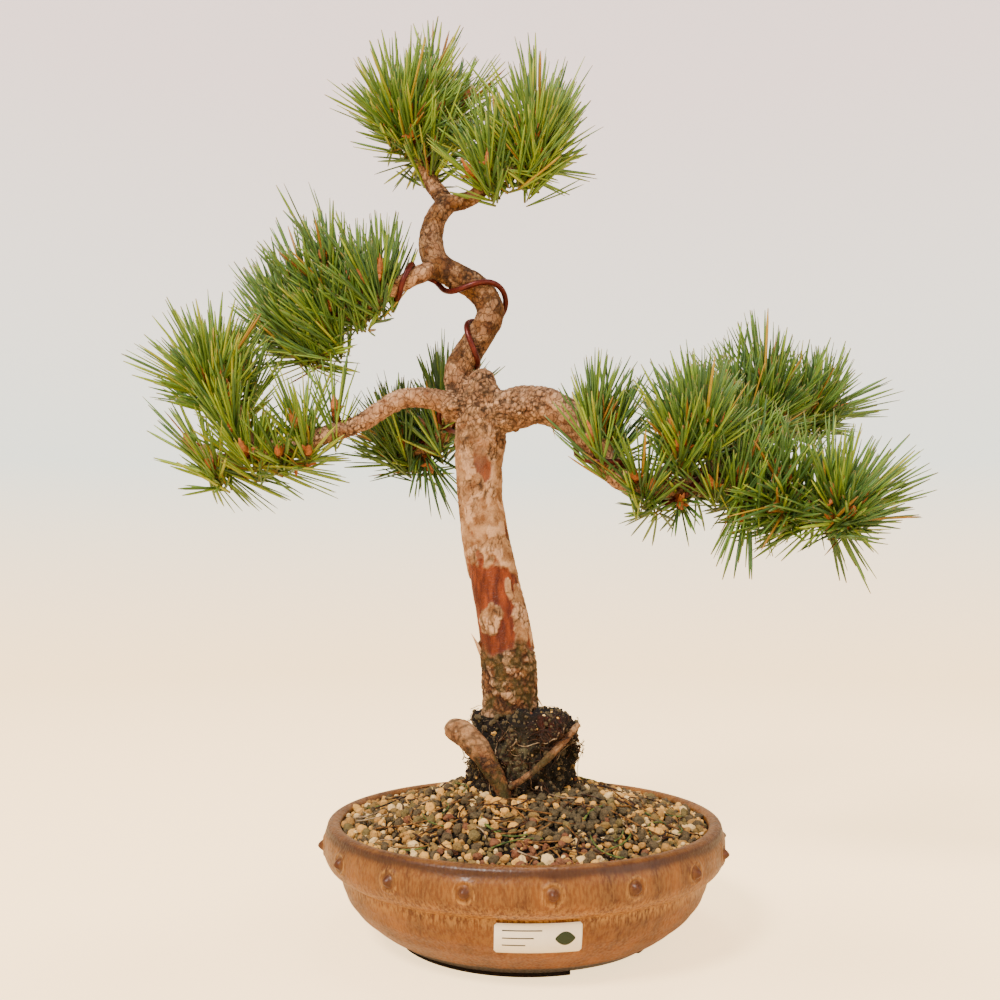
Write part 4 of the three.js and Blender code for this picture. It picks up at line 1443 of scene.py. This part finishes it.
# %% [markdown]
# ## Needles
# This pine carries its needles in pairs, all round the last stretch of each shoot, and each
# shoot ends in a scaly bud. For every packed tuft, shoots start on the wood inside it and head
# for points spread evenly over its surface, and stop a needle's length short. So the needles
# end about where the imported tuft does. Only the middle of the crown may grow past its packed
# tuft, to close the gap between the two heads.

# %% Where the shoots go
NEEDLE_LENGTH = 37 * MM
SHOOT_SPACING = 21 * MM
ROOM_OUTSIDE = 11 * MM
CLEAR_OF_TRUNK = 46 * MM
CLEAR_OF_LEADER = 24 * MM
CROWN_LEAN = 0.6
CROWN_GAP = 16 * MM


def surface_samples(name, count, dice):
    mesh = nodes[name].data
    corners = np.array([[mesh.vertices[i].co[:] for i in p.vertices[:3]] for p in mesh.polygons])
    across = np.cross(corners[:, 1] - corners[:, 0], corners[:, 2] - corners[:, 0])
    area = np.linalg.norm(across, axis=1) / 2
    which = dice.choice(len(area), count, p=area / area.sum())
    a, b = dice.uniform(0, 1, (2, count, 1))
    a, b = np.where(a + b > 1, 1 - a, a), np.where(a + b > 1, 1 - b, b)
    chosen = corners[which]
    return chosen[:, 0] + a * (chosen[:, 1] - chosen[:, 0]) + b * (chosen[:, 2] - chosen[:, 0])


def spread_out(samples, spacing):
    """A far-apart subset: each next point is the one farthest from those already taken."""
    taken = [int(np.argmax(samples[:, 2]))]
    gap = np.linalg.norm(samples - samples[taken[0]], axis=1)
    while gap.max() > spacing:
        taken.append(int(np.argmax(gap)))
        gap = np.minimum(gap, np.linalg.norm(samples - samples[taken[-1]], axis=1))
    return samples[taken]


def wood_inside(name):
    low, high = (np.array(corner[:]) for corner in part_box(name))
    room = 5 * MM
    inside = np.all((stem_points > low - room) & (stem_points < high + room), axis=1)
    if inside.sum() < 12:
        middle_point = (low + high) / 2
        order = np.argsort(np.linalg.norm(stem_points - middle_point, axis=1))
        return stem_points[order[:30]]
    return stem_points[inside]


def farther_out(points, side, distance):
    """The points past a distance on the right (1) or the left (-1), or all of them if too few."""
    beyond = side * points[:, 0] > distance
    return points[beyond] if beyond.sum() > 6 else points


crown_boxes = [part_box(name) for name in nodes if name.startswith("crown") and name.endswith("_needles")]
crown_middle_x = (min(low.x for low, high in crown_boxes) + max(high.x for low, high in crown_boxes)) / 2


def shoots_of(name, dice):
    """Start, tip and heading of each shoot in a tuft."""
    low, high = (np.array(corner[:]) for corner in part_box(name))
    middle_point = (low + high) / 2
    targets = spread_out(surface_samples(name, 900, dice), SHOOT_SPACING)
    upward = (targets[:, 2] - middle_point[2]) / (high[2] - low[2])
    targets = targets[upward > -0.3]
    wood_here = wood_inside(name)
    if name.startswith("right"):
        bare_to = trunk_middle_x + CLEAR_OF_TRUNK
        targets = targets[targets[:, 0] > bare_to]
        wood_here = farther_out(wood_here, 1, bare_to)
    if name.startswith("upper_left"):
        bare_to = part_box("upper_left_branch")[1].x - CLEAR_OF_LEADER
        targets = targets[targets[:, 0] < bare_to]
        wood_here = farther_out(wood_here, -1, -bare_to)
    lean = np.array([CROWN_LEAN * (crown_middle_x - middle_point[0]) / (high[0] - low[0]), 0, 0.8])
    lean[0] *= name.startswith("crown")
    found = []
    for target in targets:
        gap = np.linalg.norm(wood_here - target, axis=1)
        start = wood_here[int(np.argmin(gap + dice.uniform(0, 14 * MM, len(gap))))]
        way = target - start
        reach = float(np.linalg.norm(way))
        way = way / max(reach, 1e-6)
        held_back = 0.4 if name == "crown_middle_needles" else 1.0
        length = max(7 * MM, reach - held_back * NEEDLE_LENGTH)
        heading = unit(way + lean + 0.24 * dice.normal(size=3))
        found.append((start, start + way * length, heading))
    return found


# %% One needle pair after another
def shoot_needles(tip, heading, dice, pairs):
    """Bases, directions and lengths of the needles on one shoot."""
    aside = unit(np.cross(heading, [0.2, 0.9, 0.3]))
    across = np.cross(heading, aside)
    bases, ways, lengths = [], [], []
    first_turn = dice.uniform(0, TURN)
    for k in range(pairs):
        share = k / pairs
        turn = first_turn + k * 2.39996
        open_angle = math.radians(40 - 31 * share + dice.normal() * 7)
        out_way = aside * math.cos(turn) + across * math.sin(turn)
        base = tip - heading * (3 + (1 - share) * 19) * MM + out_way * 0.9 * MM
        way = heading * math.cos(open_angle) + out_way * math.sin(open_angle)
        split = unit(np.cross(way, dice.normal(size=3))) * math.tan(math.radians(dice.uniform(2, 6)))
        own = NEEDLE_LENGTH * (0.74 + 0.3 * share) * dice.uniform(0.8, 1.18)
        for sign in (-1, 1):
            bases.append(base)
            ways.append(unit(way + sign * split))
            lengths.append(own * dice.uniform(0.96, 1.03))
    return bases, ways, lengths


def needle_lines(name, bases, ways, lengths, headings, steps):
    """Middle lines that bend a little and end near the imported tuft's own box."""
    s = np.linspace(0, 1, steps)[None, :, None]
    bend = headings * 0.12 + np.array([0, 0, -0.05])
    curve = ways[:, None] * s + bend[:, None] * s**2
    ends = bases + curve[:, -1] * lengths[:, None]
    low, high = (np.array(corner[:]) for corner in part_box(name))
    room = CROWN_GAP if name == "crown_middle_needles" else ROOM_OUTSIDE
    over = np.maximum(ends - high - room, 0) + np.maximum(low - room - ends, 0)
    lengths = np.maximum(lengths - 1.1 * over.max(axis=1), 0.5 * lengths)
    return bases[:, None] + curve * lengths[:, None, None]


def needle_finish():
    material, tree, shader = new_finish("pine_needle", specular=0.45)
    hue = read_paint(tree, "hue")
    along = read_paint(tree, "along")
    tones = [
        (0.0, srgb(88, 122, 86)),
        (0.3, srgb(112, 144, 88)),
        (0.6, srgb(144, 172, 84)),
        (0.86, srgb(186, 204, 90)),
        (0.94, srgb(214, 178, 76)),
        (1.0, srgb(160, 100, 48)),
    ]
    base = ramp(tree, hue, tones)
    place = object_place(tree)
    mottle = two_tones(tree, place, 320.0, 0.25, srgb(64, 92, 48), srgb(150, 176, 96))
    color = mix_colors(tree, 0.18, base, mottle)
    foot = fit_range(tree, along, 0.0, 0.09, 0.8, 0.0)
    color = mix_colors(tree, foot, color, srgb(150, 126, 84))
    point = fit_range(tree, along, 0.93, 1.0, 0.0, 0.65)
    color = mix_colors(tree, point, color, srgb(170, 140, 84))
    grainy_surface(tree, shader, color, place, 1600.0, (0.36, 0.56), 0.06 * MM)
    return material


needle_green = needle_finish()

# %% [markdown]
# Each tuft has its own green: the crown and the lower left are fresh and yellowish, the right
# side is cooler and the back is darkest. A tuft's value shifts all its needles along one ramp.

# %% Greens
GREENS = {
    "crown": 0.56,
    "upper_left": 0.4,
    "lower_left": 0.6,
    "back": 0.34,
    "right_inner": 0.44,
    "right": 0.42,
}


def green_of(name):
    return next(value for start, value in GREENS.items() if name.startswith(start))


# %% Twigs and buds
def twig_finish():
    material, tree, shader = new_finish("scaly_twig", specular=0.3)
    place = object_place(tree)
    tone = two_tones(tree, place, 520.0, 0.12, srgb(92, 48, 20), srgb(176, 112, 56))
    grainy_surface(tree, shader, tone, place, 1300.0, (0.65, 0.9), 0.3 * MM)
    return material


def bud_finish():
    material, tree, shader = new_finish("bud_scale", specular=0.35)
    place = object_place(tree)
    tone = two_tones(tree, place, 700.0, 0.14, srgb(156, 78, 26), srgb(214, 136, 62))
    color = wear(tree, tone, 0.12, 0.5, srgb(222, 182, 132))
    grainy_surface(tree, shader, color, place, 1700.0, (0.5, 0.75), 0.2 * MM)
    return material


twig_brown = twig_finish()
bud_brown = bud_finish()


def scaly_widths(count, steps, thick, thin, dice):
    rings = np.linspace(thick, thin, steps)[None] * np.ones((count, 1))
    scales = 1 + 0.22 * (np.arange(steps)[None] % 2) + dice.uniform(-0.1, 0.1, (count, steps))
    return rings * scales


def twig_lines(shoots, steps):
    lines = np.zeros((len(shoots), steps, 3))
    for k, (start, tip, heading) in enumerate(shoots):
        pull = float(np.linalg.norm(tip - start)) * 0.4
        knee = tip - heading * pull
        s = np.linspace(0, 1, steps)[:, None]
        lines[k] = (1 - s) ** 2 * start + 2 * s * (1 - s) * knee + s**2 * tip
    return lines


def bud_lines(shoots, steps, dice):
    lines, widths = [], []
    shape = np.array([0.7, 1.0, 1.1, 0.95, 0.98, 0.72, 0.7, 0.42, 0.3, 0.06])
    for start, tip, heading in shoots:
        for k in range(int(dice.integers(2, 5))):
            size = 1.0 if k == 0 else 0.65
            way = unit(heading + (0 if k == 0 else 0.7) * dice.normal(size=3))
            s = np.linspace(0, 1, steps)[:, None]
            lines.append(tip + way * s * 10 * MM * size * dice.uniform(0.8, 1.2))
            widths.append(shape * 2.2 * MM * size)
    return np.array(lines), np.array(widths)


# %% Grow every tuft
needle_total = 0
for order, name in enumerate(sorted(n for n in nodes if n.endswith("_needles"))):
    dice = np.random.default_rng(200 + order)
    shoots = shoots_of(name, dice)
    bases, ways, lengths, headings = [], [], [], []
    for start, tip, heading in shoots:
        own = shoot_needles(tip, heading, dice, int(dice.integers(11, 21)))
        bases += own[0]
        ways += own[1]
        lengths += own[2]
        headings += [heading] * len(own[0])
    steps = 7
    roots, ways, lengths, headings = map(np.array, (bases, ways, lengths, headings))
    lines = needle_lines(name, roots, ways, lengths, headings, steps)
    taper = np.array([0.75, 1.0, 1.0, 1.0, 0.96, 0.86, 0.3]) * 0.78 * MM
    widths = np.repeat(taper[None], len(lines), axis=0)
    points, faces = tube_batch(lines, widths, sides=4, flat=0.55, spin=dice.uniform(0, TURN, len(lines)))
    tuft = make_piece(f"{name}_grown", points, faces, needle_green, [name])
    hues = np.clip(green_of(name) + 0.2 * dice.normal(size=len(lines)), 0, 0.88)
    old = dice.uniform(0, 1, len(lines))
    hues = np.where(old > 0.975, dice.uniform(0.92, 1.0, len(lines)), hues)
    paint_points(tuft, "hue", per_ring(hues, steps, 4))
    paint_points(tuft, "along", np.tile(np.repeat(np.linspace(0, 1, steps), 4), len(lines)))
    needle_total += len(lines)

    twig_steps = 14
    twigs = twig_lines(shoots, twig_steps)
    widths = scaly_widths(len(shoots), twig_steps, 2.2 * MM, 1.7 * MM, dice)
    points, faces = tube_batch(twigs, widths, sides=8)
    make_piece(name.replace("_needles", "_twigs"), points, faces, twig_brown, [name])
    buds, bud_widths = bud_lines(shoots, 10, dice)
    points, faces = tube_batch(buds, bud_widths, sides=8)
    make_piece(name.replace("_needles", "_buds"), points, faces, bud_brown, [name])
print("needles:", needle_total)
